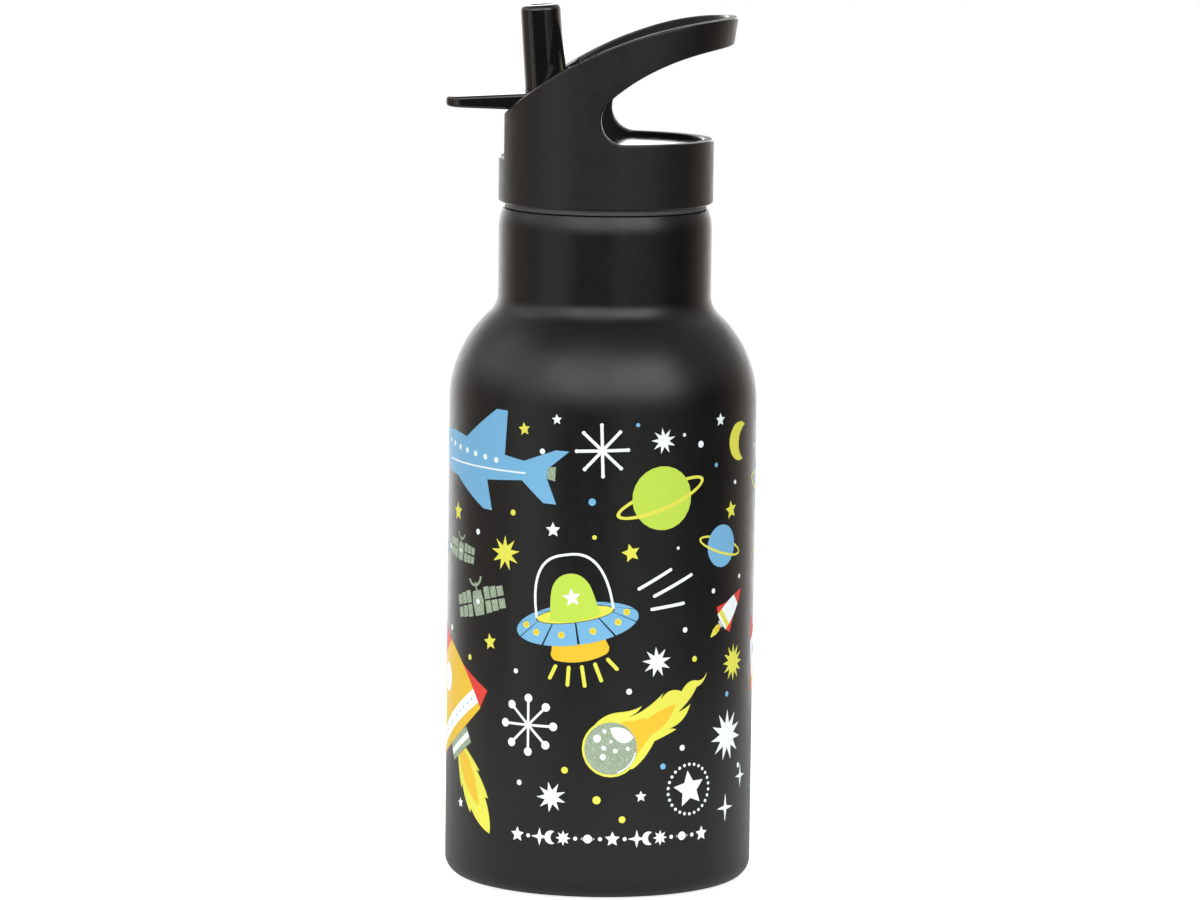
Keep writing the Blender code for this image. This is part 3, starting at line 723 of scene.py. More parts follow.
def lid_plan():
    """Points round one half of the lid's wall from the middle of its front, seen from above."""
    outer_slot = -math.pi + math.asin(SLOT_HALF_WIDTH / LID_RADIUS)
    inner_slot = -math.pi + math.asin(SLOT_HALF_WIDTH / (LID_RADIUS - LID_WALL))
    side = -math.pi / 2
    front = list(map(on_circle, between(-math.pi, outer_slot, 8), between(-math.pi, inner_slot, 8)))
    arm = list(map(on_circle, between(outer_slot, side, 26), between(inner_slot, side, 26)))
    ring = []
    loop = []
    for turn in between(0.0, math.pi / 2, 14):
        x = OPENING_ROUND * (1 - math.cos(turn))
        angle = -math.acos(x / LID_RADIUS)
        ring.append(on_circle(angle, angle))
        if x < LOOP_SHIFT:
            loop.append(((x, -LID_RADIUS), (x, LID_WALL - LID_RADIUS)))
        else:
            angle = -math.acos((x - LOOP_SHIFT) / LID_RADIUS)
            loop.append(on_circle(angle, angle, LOOP_SHIFT))
    for angle in between(-math.acos(OPENING_ROUND / LID_RADIUS), 0.0, 34)[1:]:
        ring.append(on_circle(angle, angle))
    for angle in between(-math.acos((OPENING_ROUND - LOOP_SHIFT) / LID_RADIUS), 0.0, 34)[1:]:
        loop.append(on_circle(angle, angle, LOOP_SHIFT))
    return front, arm, ring, loop


def flared(point, z):
    """The carrying loop leans outwards as it rises, most at its far end."""
    reach = max(0.0, point[0]) / (LID_RADIUS + LOOP_SHIFT)
    return point[0] + LOOP_FLARE * (z - LOOP_FLARE_HEIGHT) * reach, point[1], z


def lid_wall_mesh():
    """Skirt, arms and carrying loop in one closed mesh with rounded edges.

    Sheets of cells cover the outer and the inner surface, and a strip across the wall closes
    every edge that has a cell on one side only.
    """
    front, arm, ring, loop = lid_plan()
    outer_points = []
    inner_points = []
    number = {}
    cells = []

    def corner(place, z, leans, mirror):
        pair = []
        for point in place:
            x, y, height = flared(point, z) if leans else (*point, z)
            pair.append(Vector((x, y * mirror, height)))
        key = tuple(round(value * 1e7) for value in pair[0])
        if key not in number:
            number[key] = len(outer_points)
            outer_points.append(pair[0])
            inner_points.append(pair[1])
        return number[key]

    def sheet(places, low, high, leans=False):
        for mirror in (1, -1):
            for a, b in zip(places, places[1:]):
                cells.append([corner(place, level(place[0][0]), leans, mirror)
                              for place, level in ((a, low), (b, low), (b, high), (a, high))])

    def ring_level(x):
        return arm_split(x) if x <= 0.0 else opening_edges(x)[0]

    def loop_level(x):
        return arm_split(x) if x <= 0.0 else opening_edges(x)[1]

    sheet(front + arm[1:] + ring[1:], lambda x: LID_BOTTOM, lambda x: SLOT_BOTTOM)
    sheet(arm + ring[1:], lambda x: SLOT_BOTTOM, ring_level)
    sheet(arm + loop[1:], loop_level, loop_top, leans=True)

    edges = {}
    for cell in cells:
        for a, b in zip(cell, cell[1:] + cell[:1]):
            edges.setdefault(frozenset((a, b)), []).append((a, b))

    def build(work):
        outer = [work.verts.new(point) for point in outer_points]
        inner = [work.verts.new(point) for point in inner_points]
        for cell in cells:
            work.faces.new([outer[index] for index in cell])
            work.faces.new([inner[index] for index in cell])
        for sides in edges.values():
            if len(sides) == 1:
                a, b = sides[0]
                work.faces.new((outer[a], outer[b], inner[b], inner[a]))
        bmesh.ops.recalc_face_normals(work, faces=work.faces)
        round_edges(work, LID_EDGE)

    return mesh_from("lid_wall", build)


def cheek(side):
    """One of the two inner walls that carry the mouthpiece's trunnions."""
    floor = FLOOR_TOP + CLEARANCE
    outline = [(-LID_RADIUS, floor), (CHEEK_END_X, floor)]
    outline += [(x, loop_top(x) - CHEEK_STEP) for x in between(CHEEK_END_X, -LID_RADIUS, 24)]
    near = side * SLOT_HALF_WIDTH
    far = side * LID_RADIUS
    made = loose("cheek", loft("cheek", [[(x, y, z) for x, z in outline] for y in (near, far)]))
    limit = peg("limit", LID_RADIUS - LID_WALL / 2, LID_BOTTOM, loop_top(0.0), 0.0, SEGMENTS)
    combine(made, limit, "INTERSECT")
    hole = peg("hole", TRUNNION_HOLE_RADIUS, -0.003, 0.003)
    return combine(made, along_pivot(hole, near), "DIFFERENCE")


def make_lid(material):
    shell = loose("lid_wall", lid_wall_mesh())
    for side in (-1, 1):
        combine(shell, cheek(side), "UNION")
    piece("lid_wall", shell, material, "lid", "matte_lid", "lid_shell")


def thread_ridge(root_radius, tip_radius, start_z):
    """A screw thread's ridge, a tapered strip wound up the axis and sunk a little into its wall."""
    steps = int(SEGMENTS * THREAD_TURNS / 2)
    per_turn = SEGMENTS / 2
    sections = []
    for step in range(steps + 1):
        angle = math.tau * (step + 0.5) / per_turn
        z = start_z + THREAD_PITCH * step / per_turn
        height = min(1.0, 0.15 + min(step, steps - step) / 12)
        tip = root_radius + (tip_radius - root_radius) * height
        root = root_radius - CLEARANCE
        corners = ((root, -THREAD_ROOT_WIDTH / 2), (tip, -THREAD_TIP_WIDTH / 2),
                   (tip, THREAD_TIP_WIDTH / 2), (root, THREAD_ROOT_WIDTH / 2))
        sections.append([(radius * math.cos(angle), radius * math.sin(angle), z + offset)
                         for radius, offset in corners])
    return loose("thread", loft("thread", sections))


def make_plug(material):
    """The glossy floor inside the lid's ring, with the hollow threaded plug under it."""
    under = FLOOR_TOP - FLOOR_THICKNESS
    flange = LID_BOTTOM + FLANGE_GAP
    flange_top = flange + FLANGE_THICKNESS
    inner = FLOOR_RADIUS - FLANGE_THICKNESS
    plug_inner = PLUG_RADIUS - PLUG_WALL
    profile = [(0.0, FLOOR_TOP), (FLOOR_RADIUS, FLOOR_TOP), (FLOOR_RADIUS, flange),
               (PLUG_RADIUS, flange), (PLUG_RADIUS, PLUG_BOTTOM), (plug_inner, PLUG_BOTTOM),
               (plug_inner, flange_top), (inner, flange_top), (inner, under), (0.0, under)]
    core = loose("plug", lathe("plug", rounded(profile, 0.0003)))
    above = FLOOR_TOP + 0.001
    combine(core, thread_ridge(PLUG_RADIUS, PLUG_RADIUS + THREAD_DEPTH, THREAD_START), "UNION")
    combine(core, peg("socket", SOCKET_RADIUS, SOCKET_BOTTOM, under + 0.0006, STRAW_X), "UNION")
    for tool in (peg("straw_bore", STRAW_HOLE_RADIUS, SOCKET_BOTTOM - 0.001, STRAW_HOLE_TOP, STRAW_X),
                 peg("port", BORE_RADIUS + 0.0002, STRAW_HOLE_TOP - 0.0003, above, PIVOT_X),
                 peg("recess", SEAT_RECESS_RADIUS, FLOOR_TOP - SEAT_DEPTH, above, PIVOT_X),
                 peg("vent", VENT_RADIUS, under - 0.001, above, VENT_X)):
        combine(core, tool, "DIFFERENCE")
    piece("lid_floor_and_plug", core, material, "lid", "glossy_lid", "lid_core")


def make_gasket(material):
    """The sealing ring, the narrow grey band between the lid and the bottle's lip."""
    low = LIP_HEIGHT + 0.00010
    high = LID_BOTTOM - 0.00006
    profile = [(GASKET_INNER_RADIUS, low), (GASKET_OUTER_RADIUS, low),
               (GASKET_OUTER_RADIUS, high), (GASKET_INNER_RADIUS, high)]
    piece("gasket", lathe("gasket", rounded(profile, 0.00018)), material, "lid_seal",
          "grey_silicone", "lid_gasket")


# ---- Mouthpiece -------------------------------------------------------------------------------

def oval(size, z, steps=96):
    """Points of an oval with rather flat sides, centred on the axis."""
    points = []
    for step in range(steps):
        angle = math.tau * (step + 0.5) / steps
        c = math.cos(angle)
        s = math.sin(angle)
        points.append((size[0] / 2 * math.copysign(abs(c) ** SPOUT_ROUNDNESS, c),
                       size[1] / 2 * math.copysign(abs(s) ** SPOUT_ROUNDNESS, s), z))
    return points


def spout_tube():
    """The oval drinking tube, tapered upwards and rounded over at its mouth."""
    sections = []
    straight_top = SPOUT_LENGTH - SPOUT_TIP_ROUND
    for share in between(0.0, 1.0, 10):
        size = [low + (high - low) * share for low, high in zip(SPOUT_BASE_SIZE, SPOUT_TIP_SIZE)]
        sections.append(oval(size, straight_top * share))
    for turn in between(0.0, math.pi / 2, 7)[1:]:
        inset = 2 * SPOUT_TIP_ROUND * (1 - math.cos(turn))
        size = [width - inset for width in SPOUT_TIP_SIZE]
        sections.append(oval(size, straight_top + SPOUT_TIP_ROUND * math.sin(turn)))
    return loose("tube", loft("tube", sections))


def spout_tab():
    """The thumb tab, a flat tongue with soft edges that thins towards its rounded tip."""
    outline = [(PIVOT_X, -TAB_HALF_WIDTH)]
    corner_x = TAB_TIP_X + TAB_CORNER
    corner_y = TAB_HALF_WIDTH - TAB_CORNER
    outline += arc(corner_x, -corner_y, TAB_CORNER, 270, 180, 14)
    outline += arc(corner_x, corner_y, TAB_CORNER, 180, 90, 14)
    outline.append((PIVOT_X, TAB_HALF_WIDTH))
    levels = ((TAB_TIP_UNDER, -TAB_UNDER_SLOPE), (TAB_TIP_TOP, TAB_TOP_SLOPE))

    def build(work):
        under, top = ([work.verts.new((x, y, z + slope * (x - TAB_TIP_X))) for x, y in outline]
                      for z, slope in levels)
        work.faces.new(under)
        work.faces.new(top)
        for step in range(len(outline)):
            after = (step + 1) % len(outline)
            work.faces.new((under[step], under[after], top[after], top[step]))
        bmesh.ops.recalc_face_normals(work, faces=work.faces)
        round_edges(work, TAB_EDGE, 5)

    return loose("tab", mesh_from("tab", build))


def make_mouthpiece(material):
    """Barrel, trunnions, drinking tube and thumb tab, with the bore through them."""

    def leaning(item):
        item.data.transform(Matrix.Rotation(-SPOUT_LEAN, 4, "Y"))
        item.data.transform(Matrix.Translation((PIVOT_X, 0.0, PIVOT_Z)))
        return item

    def turned(name, radius, half_length, edge):
        profile = rounded([(0.0, -half_length), (radius, -half_length), (radius, half_length),
                           (0.0, half_length)], edge)
        return along_pivot(loose(name, lathe(name, profile, 96)))

    spout = turned("barrel", BARREL_RADIUS, BARREL_HALF_LENGTH, 0.0004)
    combine(spout, turned("trunnions", TRUNNION_RADIUS, TRUNNION_END, 0.0003), "UNION")
    combine(spout, leaning(spout_tube()), "UNION")
    combine(spout, spout_tab(), "UNION")
    mouth = SPOUT_LENGTH
    bore = lathe("bore", [(0.0, -0.008), (BORE_RADIUS, -0.008), (BORE_RADIUS, mouth - 0.0006),
                          (BORE_RADIUS + 0.0002, mouth - 0.0002), (BORE_RADIUS + 0.0008, mouth + 0.0003),
                          (0.0, mouth + 0.0003)], 72)
    combine(spout, leaning(loose("bore", bore)), "DIFFERENCE")
    piece("mouthpiece", spout, material, "mouthpiece", "glossy_lid", "spout")


# ---- Printed decoration -----------------------------------------------------------------------
# A motif is a list of (ink, layer, outline), with its outline in millimetres round its own middle.

INKS = {
    "white": (0.84, 0.90, 0.90),
    "yellow": (0.73, 0.72, 0.080),
    "lime": (0.50, 0.69, 0.070),
    "blue": (0.17, 0.43, 0.67),
    "orange": (0.78, 0.50, 0.022),
    "red": (0.70, 0.045, 0.030),
    "silver": (0.27, 0.34, 0.24),
}
printed = {name: [] for name in INKS}


def oval_line(x, y, width, height, start=0, end=360, steps=28):
    """Points along an ellipse with the given half axes."""
    closed = end - start == 360
    points = []
    for step in range(steps if closed else steps + 1):
        angle = math.radians(start + (end - start) * step / steps)
        points.append((x + width * math.cos(angle), y + height * math.sin(angle)))
    return points


def disc(x, y, radius):
    return oval_line(x, y, radius, radius, steps=24)


def band(x, y, width, height, thickness, start, end):
    """A stretch of an elliptical ring."""
    outer = oval_line(x, y, width, height, start, end)
    inner = oval_line(x, y, width - thickness, height - thickness, start, end)
    return outer + inner[::-1]


def stroke(x0, y0, x1, y1, thickness):
    """A straight dash with round ends."""
    direction = math.degrees(math.atan2(y1 - y0, x1 - x0))
    radius = thickness / 2
    return (oval_line(x1, y1, radius, radius, direction - 90, direction + 90, 8)
            + oval_line(x0, y0, radius, radius, direction + 90, direction + 270, 8))


def swing(start, control, end, steps=8):
    """Points of a curve that leaves its start towards the control point, without the start."""
    points = []
    for share in between(0.0, 1.0, steps)[1:]:
        points.append(tuple((1 - share) ** 2 * a + 2 * share * (1 - share) * b + share ** 2 * c
                            for a, b, c in zip(start, control, end)))
    return points


def star(colour, points, size, inner=0.45):
    outline = []
    for step in range(2 * points):
        radius = size if step % 2 == 0 else size * inner
        angle = math.pi * step / points + math.pi / 2
        outline.append((radius * math.cos(angle), radius * math.sin(angle)))
    return [(colour, 1, outline)]


def dot(colour, size):
    return [(colour, 1, disc(0, 0, size))]


def asterisk(arms, length, thickness, tip):
    """Thin arms round a middle, each with a round end of its own size."""
    half = thickness / 2
    hollow = half / math.sin(math.pi / arms)
    outline = []
    for arm in range(arms):
        direction = 360 * arm / arms + 90
        opening = math.degrees(math.asin(min(1.0, half / tip)))
        x = length * math.cos(math.radians(direction))
        y = length * math.sin(math.radians(direction))
        outline += oval_line(x, y, tip, tip, direction - 180 + opening, direction + 180 - opening, 14)
        between_arms = math.radians(direction + 180 / arms)
        outline.append((hollow * math.cos(between_arms), hollow * math.sin(between_arms)))
    return [("white", 1, outline)]


def crescent(colour, size):
    outer = oval_line(0, 0, size, size, 60, 300, 24)
    inner = oval_line(size * 0.825, 0, size * 0.925, size * 0.925, 249, 111, 20)
    return [(colour, 1, outer + inner[1:-1])]


def planet(radius, colour, ring):
    """A disc inside a tilted ring that passes behind it and comes round in front."""
    wide, flat, thick = 1.58 * radius, 0.38 * radius, 0.12 * radius
    return [
        (ring, 0, band(0, 0, wide, flat, thick, 0, 180)),
        (colour, 1, disc(0, 0, radius)),
        (ring, 2, band(0, 0, wide, flat, thick, 180, 360))]


def striped_planet(radius):
    """A pale blue disc with white cloud bands and a small moon."""
    shapes = [("blue", 1, oval_line(0, 0, radius, radius, steps=48))]
    for height, reach in ((0.52, 0.5), (0.10, 0.62), (-0.38, 0.45)):
        y = height * radius
        x = reach * radius
        shapes.append(("white", 2, stroke(-x, y, x * 0.55, y, 0.06 * radius)))
        shapes.append(("white", 2, stroke(x * 0.75, y, x * 0.9, y, 0.06 * radius)))
    shapes.append(("lime", 1, disc(1.34 * radius, 0.62 * radius, 0.17 * radius)))
    return shapes


def curved(start, *turns):
    """An outline that swings from point to point, each given with its control point."""
    outline = [start]
    for control, end in turns:
        outline += swing(outline[-1], control, end)
    return outline


def feather(length, width, notches):
    """A leaf-shaped flame along +X, with its edges notched like a feather's."""
    def edge(side, scale):
        points = []
        stops = (0.0, *notches, 1.0)
        for low, high in zip(stops, stops[1:]):
            for step in range(9):
                share = low + (high - low) * step / 8
                back = 0.04 * (1 - step / 8) if low else 0.0
                swell = 0.5 + 0.5 * math.sin(math.pi / 2 * min(1.0, share / 0.42))
                if share > 0.42:
                    swell = max(0.0, math.cos(math.pi / 2 * (share - 0.42) / 0.58)) ** 0.8
                reach = swell * (0.80 + 0.20 * step / 8) if low else swell
                points.append(((share - back) * length * scale, side * reach * width * scale))
        return points

    def leaf(scale):
        return edge(-1, scale) + edge(1, scale)[-2::-1]

    return [("yellow", 1, leaf(1.0)), ("orange", 2, [(x, y * 0.82) for x, y in leaf(0.66)])]


def moved(shapes, x, y, turn=0.0, lift=0):
    """Turn a motif by degrees and shift it in its own plane."""
    c, s = math.cos(math.radians(turn)), math.sin(math.radians(turn))
    return [(colour, layer + lift, [(x + c * a - s * b, y + s * a + c * b) for a, b in outline])
            for colour, layer, outline in shapes]


def comet(size):
    """A glittering ball that trails a flame up to the right."""
    flame = curved(
        (-0.70, 0.80), ((-0.30, 1.35), (0.35, 1.38)), ((0.85, 1.42), (1.16, 1.60)),
        ((1.02, 1.32), (0.62, 1.18)), ((1.20, 1.30), (2.03, 2.06)), ((1.94, 1.95), (1.93, 1.82)),
        ((2.25, 2.30), (2.80, 2.07)), ((3.10, 2.55), (3.55, 2.42)), ((3.85, 2.40), (4.01, 2.71)),
        ((3.88, 2.28), (3.50, 2.18)), ((3.25, 1.75), (2.66, 1.29)), ((2.95, 1.38), (3.21, 1.56)),
        ((2.95, 0.80), (2.16, 0.66)), ((2.40, 0.72), (2.59, 0.64)), ((2.20, 0.45), (1.69, 0.25)),
        ((1.25, -0.55), (0.80, -0.80)), ((0.0, 0.0), (-0.70, 0.80)))
    heart = curved(
        (0.90, -0.40), ((1.30, 0.20), (1.60, 0.52)), ((2.30, 0.85), (2.55, 1.62)),
        ((1.75, 1.40), (1.15, 0.94)), ((1.25, 1.05), (1.35, 1.15)), ((0.95, 1.05), (0.40, 1.00)))
    shine = curved((-0.04, 0.78), ((0.55, 0.92), (0.86, 0.42)), ((0.60, 0.10), (0.30, 0.26)),
                   ((0.05, 0.40), (-0.04, 0.78)))
    shapes = [("yellow", 1, flame), ("yellow", 2, disc(0, 0, 1.09)), ("orange", 3, heart),
              ("silver", 4, disc(0, 0, 1.0)), ("white", 5, shine[:-1]),
              ("white", 5, band(0, 0, 0.97, 0.97, 0.05, 285, 350))]
    for x, y, radius in ((-0.52, 0.38, 0.15), (-0.25, 0.66, 0.08), (0.0, 0.27, 0.06),
                         (-0.27, 0.02, 0.09), (0.17, -0.09, 0.09), (0.64, -0.01, 0.08),
                         (-0.30, -0.32, 0.11)):
        shapes.append(("white", 5, disc(x, y, radius)))
    return [(colour, layer, [(x * size, y * size) for x, y in outline])
            for colour, layer, outline in shapes]


def rocket(length, half, skin, belt_ink, window):
    """A plain rocket along +Y with red nose and fins, a round window, a nozzle and a flame."""
    def side(share):
        return half * math.cos(math.pi / 2 * max(0.0, share) ** 1.35)

    def belt(low, high):
        shares = between(low, high, 10)
        right = [(side(share), share * length) for share in shares]
        left = [(-side(share), share * length) for share in reversed(shares)]
        return right + (left[1:] if high == 1.0 else left)

    foot = [(-half, 0)] + swing((-half, 0), (0, -0.16 * half), (half, 0))
    shapes = [(skin, 1, foot), (skin, 1, belt(0.0, 0.68)), ("red", 1, belt(0.68, 1.0)),
              (belt_ink, 2, belt(0.05, 0.17)), (window, 2, disc(0, 0.47 * length, 0.27 * half))]
    for mirror in (-1, 1):
        fin = [(side(0.42), 0.42 * length), (half + 0.15 * length, 0.08 * length), (0.98 * half, 0.0)]
        shapes.append(("red", 0, [(mirror * x, y) for x, y in fin]))
        for share in between(0.15, 0.85, 4):
            shapes.append(("blue", 3, disc(mirror * share * half, 0.11 * length, 0.022 * half)))
    throat = 0.40 * half
    for step in range(3):
        low = -0.08 * half - 0.11 * half * step
        shapes.append(("silver" if step % 2 == 0 else "white", 0,
                       [(-throat, low), (-throat, low - 0.11 * half),
                        (throat, low - 0.11 * half), (throat, low)]))
    return shapes + moved(feather(1.65 * half, 0.37 * half, (0.34, 0.66)), 0, -0.42 * half, -90)


def shuttle():
    """A long pale blue spaceplane that flies to the left."""
    body = curved((-26, 0.6), ((-19, 6.6), (-4, 4.6)), ((9, 2.4), (19, 1.5)), ((19.6, 0), (19, -1.5)),
                  ((9, -2.8), (-4, -4.4)), ((-19, -5.6), (-26, 0.6)))
    shapes = [("blue", 2, body[:-1])]
    for fin in ([(-6, 3.9), (5.5, 12.4), (8.6, 12.4), (8.4, 2.6)],
                [(-10, -4.0), (2.6, -10.0), (5.4, -10.0), (3.4, -3.4)],
                [(12.5, 1.6), (21.0, 5.2), (24.0, 5.2), (19.0, 0.6)],
                [(12.5, -1.6), (18.8, -6.6), (21.8, -6.6), (19.0, -0.6)]):
        shapes.append(("blue", 1, fin))
    for x in between(-15, 6, 6):
        shapes.append(("white", 3, disc(x, 1.5 - 0.05 * x, 0.62)))
    shapes.append(("white", 3, stroke(-14, -1.6, 14, -0.6, 0.35)))
    shapes.append(("silver", 1, [(19.3, 1.2), (21.2, 1.6), (21.2, -1.6), (19.3, -1.2)]))
    return shapes


def arch(x, y, width, height, thickness):
    """A dome's outline, square-shouldered and open below."""
    def line(wide, high):
        points = []
        for step in range(33):
            angle = math.pi * step / 32
            c = math.cos(angle)
            points.append((x + wide * math.copysign(abs(c) ** 0.72, c), y + high * math.sin(angle) ** 0.85))
        return points

    return line(width, height) + line(width - thickness, height - thickness)[::-1]


def saucer(half):
    """An empty saucer: a panelled hull with lamps, a deck under a clear dome, a base and rays."""
    def hull(angle):
        return half * math.cos(angle), 0.33 * half * math.sin(angle)

    def deck(angle):
        return 0.64 * half * math.cos(angle), 0.15 * half + 0.13 * half * math.sin(angle)

    shapes = []
    panels = 10
    for panel in range(panels):
        start, end = math.tau * (panel + 0.53) / panels, math.tau * (panel + 1.47) / panels
        rim = [hull(angle) for angle in between(start, end, 6)]
        shapes.append(("blue", 1, rim + [deck(angle) for angle in between(end, start, 6)]))
        middle = (start + end) / 2
        (x0, y0), (x1, y1) = hull(middle), deck(middle)
        if math.sin(middle) < 0.1:
            x, y = (x0 + x1) / 2, (y0 + y1) / 2
            shapes.append(("yellow", 2, disc(x, y, 0.054 * half)))
            shapes.append(("orange", 3, disc(x, y, 0.034 * half)))
    shapes.append(("yellow", 2, oval_line(0, 0.15 * half, 0.62 * half, 0.12 * half)))
    cabin = curved((-0.40, 0.10), ((-0.36, 0.45), (-0.30, 0.60)), ((-0.20, 0.80), (0.0, 0.80)),
                   ((0.20, 0.80), (0.30, 0.60)), ((0.36, 0.45), (0.40, 0.10)), ((0.0, -0.02), (-0.40, 0.10)))
    shapes.append(("lime", 3, [(x * half, y * half) for x, y in cabin[:-1]]))
    shapes += moved(star("white", 5, 0.15 * half, 0.46), 0, 0.42 * half, 0, 3)
    shapes.append(("white", 4, arch(0, 0.16 * half, 0.64 * half, 0.96 * half, 0.04 * half)))
    base = curved((0.42, -0.24), ((0.0, -0.40), (-0.42, -0.24)), ((-0.44, -0.36), (-0.47, -0.42)),
                  ((-0.46, -0.52), (-0.38, -0.54)), ((0.0, -0.66), (0.38, -0.54)),
                  ((0.46, -0.52), (0.47, -0.42)), ((0.44, -0.36), (0.42, -0.24)))
    shapes.append(("orange", 0, [(x * half, y * half) for x, y in base[:-1]]))
    for share in between(-1.0, 1.0, 4):
        x, y = 0.42 * half * share, -half * (0.68 - 0.06 * share ** 2)
        reach = half * (0.30 - 0.13 * share ** 2)
        shapes.append(("yellow", 1, stroke(x, y, x * 1.28, y - reach, 0.06 * half)))
    return shapes


def rock(size):
    """A lumpy glittering stone with small craters."""
    bumps = (1.0, 0.82, 0.95, 0.78, 1.02, 0.86, 0.92, 0.74, 0.96, 0.84)
    outline = []
    for step in range(60):
        share = step / 60 * len(bumps)
        first, second = bumps[int(share)], bumps[(int(share) + 1) % len(bumps)]
        ease = (1 - math.cos(math.pi * (share % 1))) / 2
        radius = size * (first + (second - first) * ease)
        angle = math.tau * step / 60
        outline.append((radius * math.cos(angle), 0.78 * radius * math.sin(angle)))
    craters = ((-0.35, 0.18, 0.16), (0.30, -0.15, 0.20), (0.25, 0.38, 0.09), (-0.2, -0.3, 0.1))
    return [("silver", 1, outline)] + [
        ("white", 2, disc(x * size, y * size, radius * size)) for x, y, radius in craters]


def satellite(size):
    """A glittering probe with two panelled wings, a dish and a white eye for its lens."""
    body = [(-0.26, -0.52), (0.26, -0.52), (0.34, 0.0), (0.26, 0.42), (-0.26, 0.42), (-0.34, 0.0)]
    shapes = [("silver", 1, [(x * size, y * size) for x, y in body])]
    for mirror in (-1, 1):
        for column in range(3):
            low = 0.42 + 0.36 * column
            high = low + 0.31
            for row in (-1, 1):
                lean = 0.10 * (low - 0.42)
                wing = [(low, 0.03 + lean * 0.3), (high, 0.03 + lean * 0.3),
                        (high, 0.50 - lean), (low, 0.50 - lean)]
                shapes.append(("silver", 1, [(mirror * x * size, row * y * size) for x, y in wing]))
    shapes.append(("silver", 1, band(0, 0.98 * size, 0.42 * size, 0.40 * size, 0.10 * size, 190, 350)))
    shapes.append(("silver", 0, stroke(0, 0.40 * size, 0, 0.72 * size, 0.08 * size)))
    shapes.append(("white", 2, disc(0, 0, 0.10 * size)))
    return shapes


def ringed_star(size):
    shapes = star("white", 5, 0.76 * size, 0.48)
    for step in range(26):
        angle = math.tau * step / 26
        shapes.append(("white", 1, disc(size * math.cos(angle), size * math.sin(angle), 0.065 * size)))
    return shapes


def dashes(size):
    shapes = []
    for x0, y0, x1, y1 in ((-1.02, 0.0, 0.20, 0.66), (-0.43, -0.28, 1.08, 0.42), (-0.52, -0.76, 0.75, -0.60)):
        shapes.append(("white", 1, stroke(x0 * size, y0 * size, x1 * size, y1 * size, 0.12 * size)))
    return shapes


def stamp(shapes, azimuth, height, turn=0.0):
    """Print a motif on the bottle's side, its middle at an angle round it and a height in mm."""
    along = math.radians(azimuth) * BODY_RADIUS
    for colour, layer, outline in moved(shapes, 0.0, 0.0, turn):
        printed[colour].append((layer, [(along + x / 1000, (height + y) / 1000) for x, y in outline]))


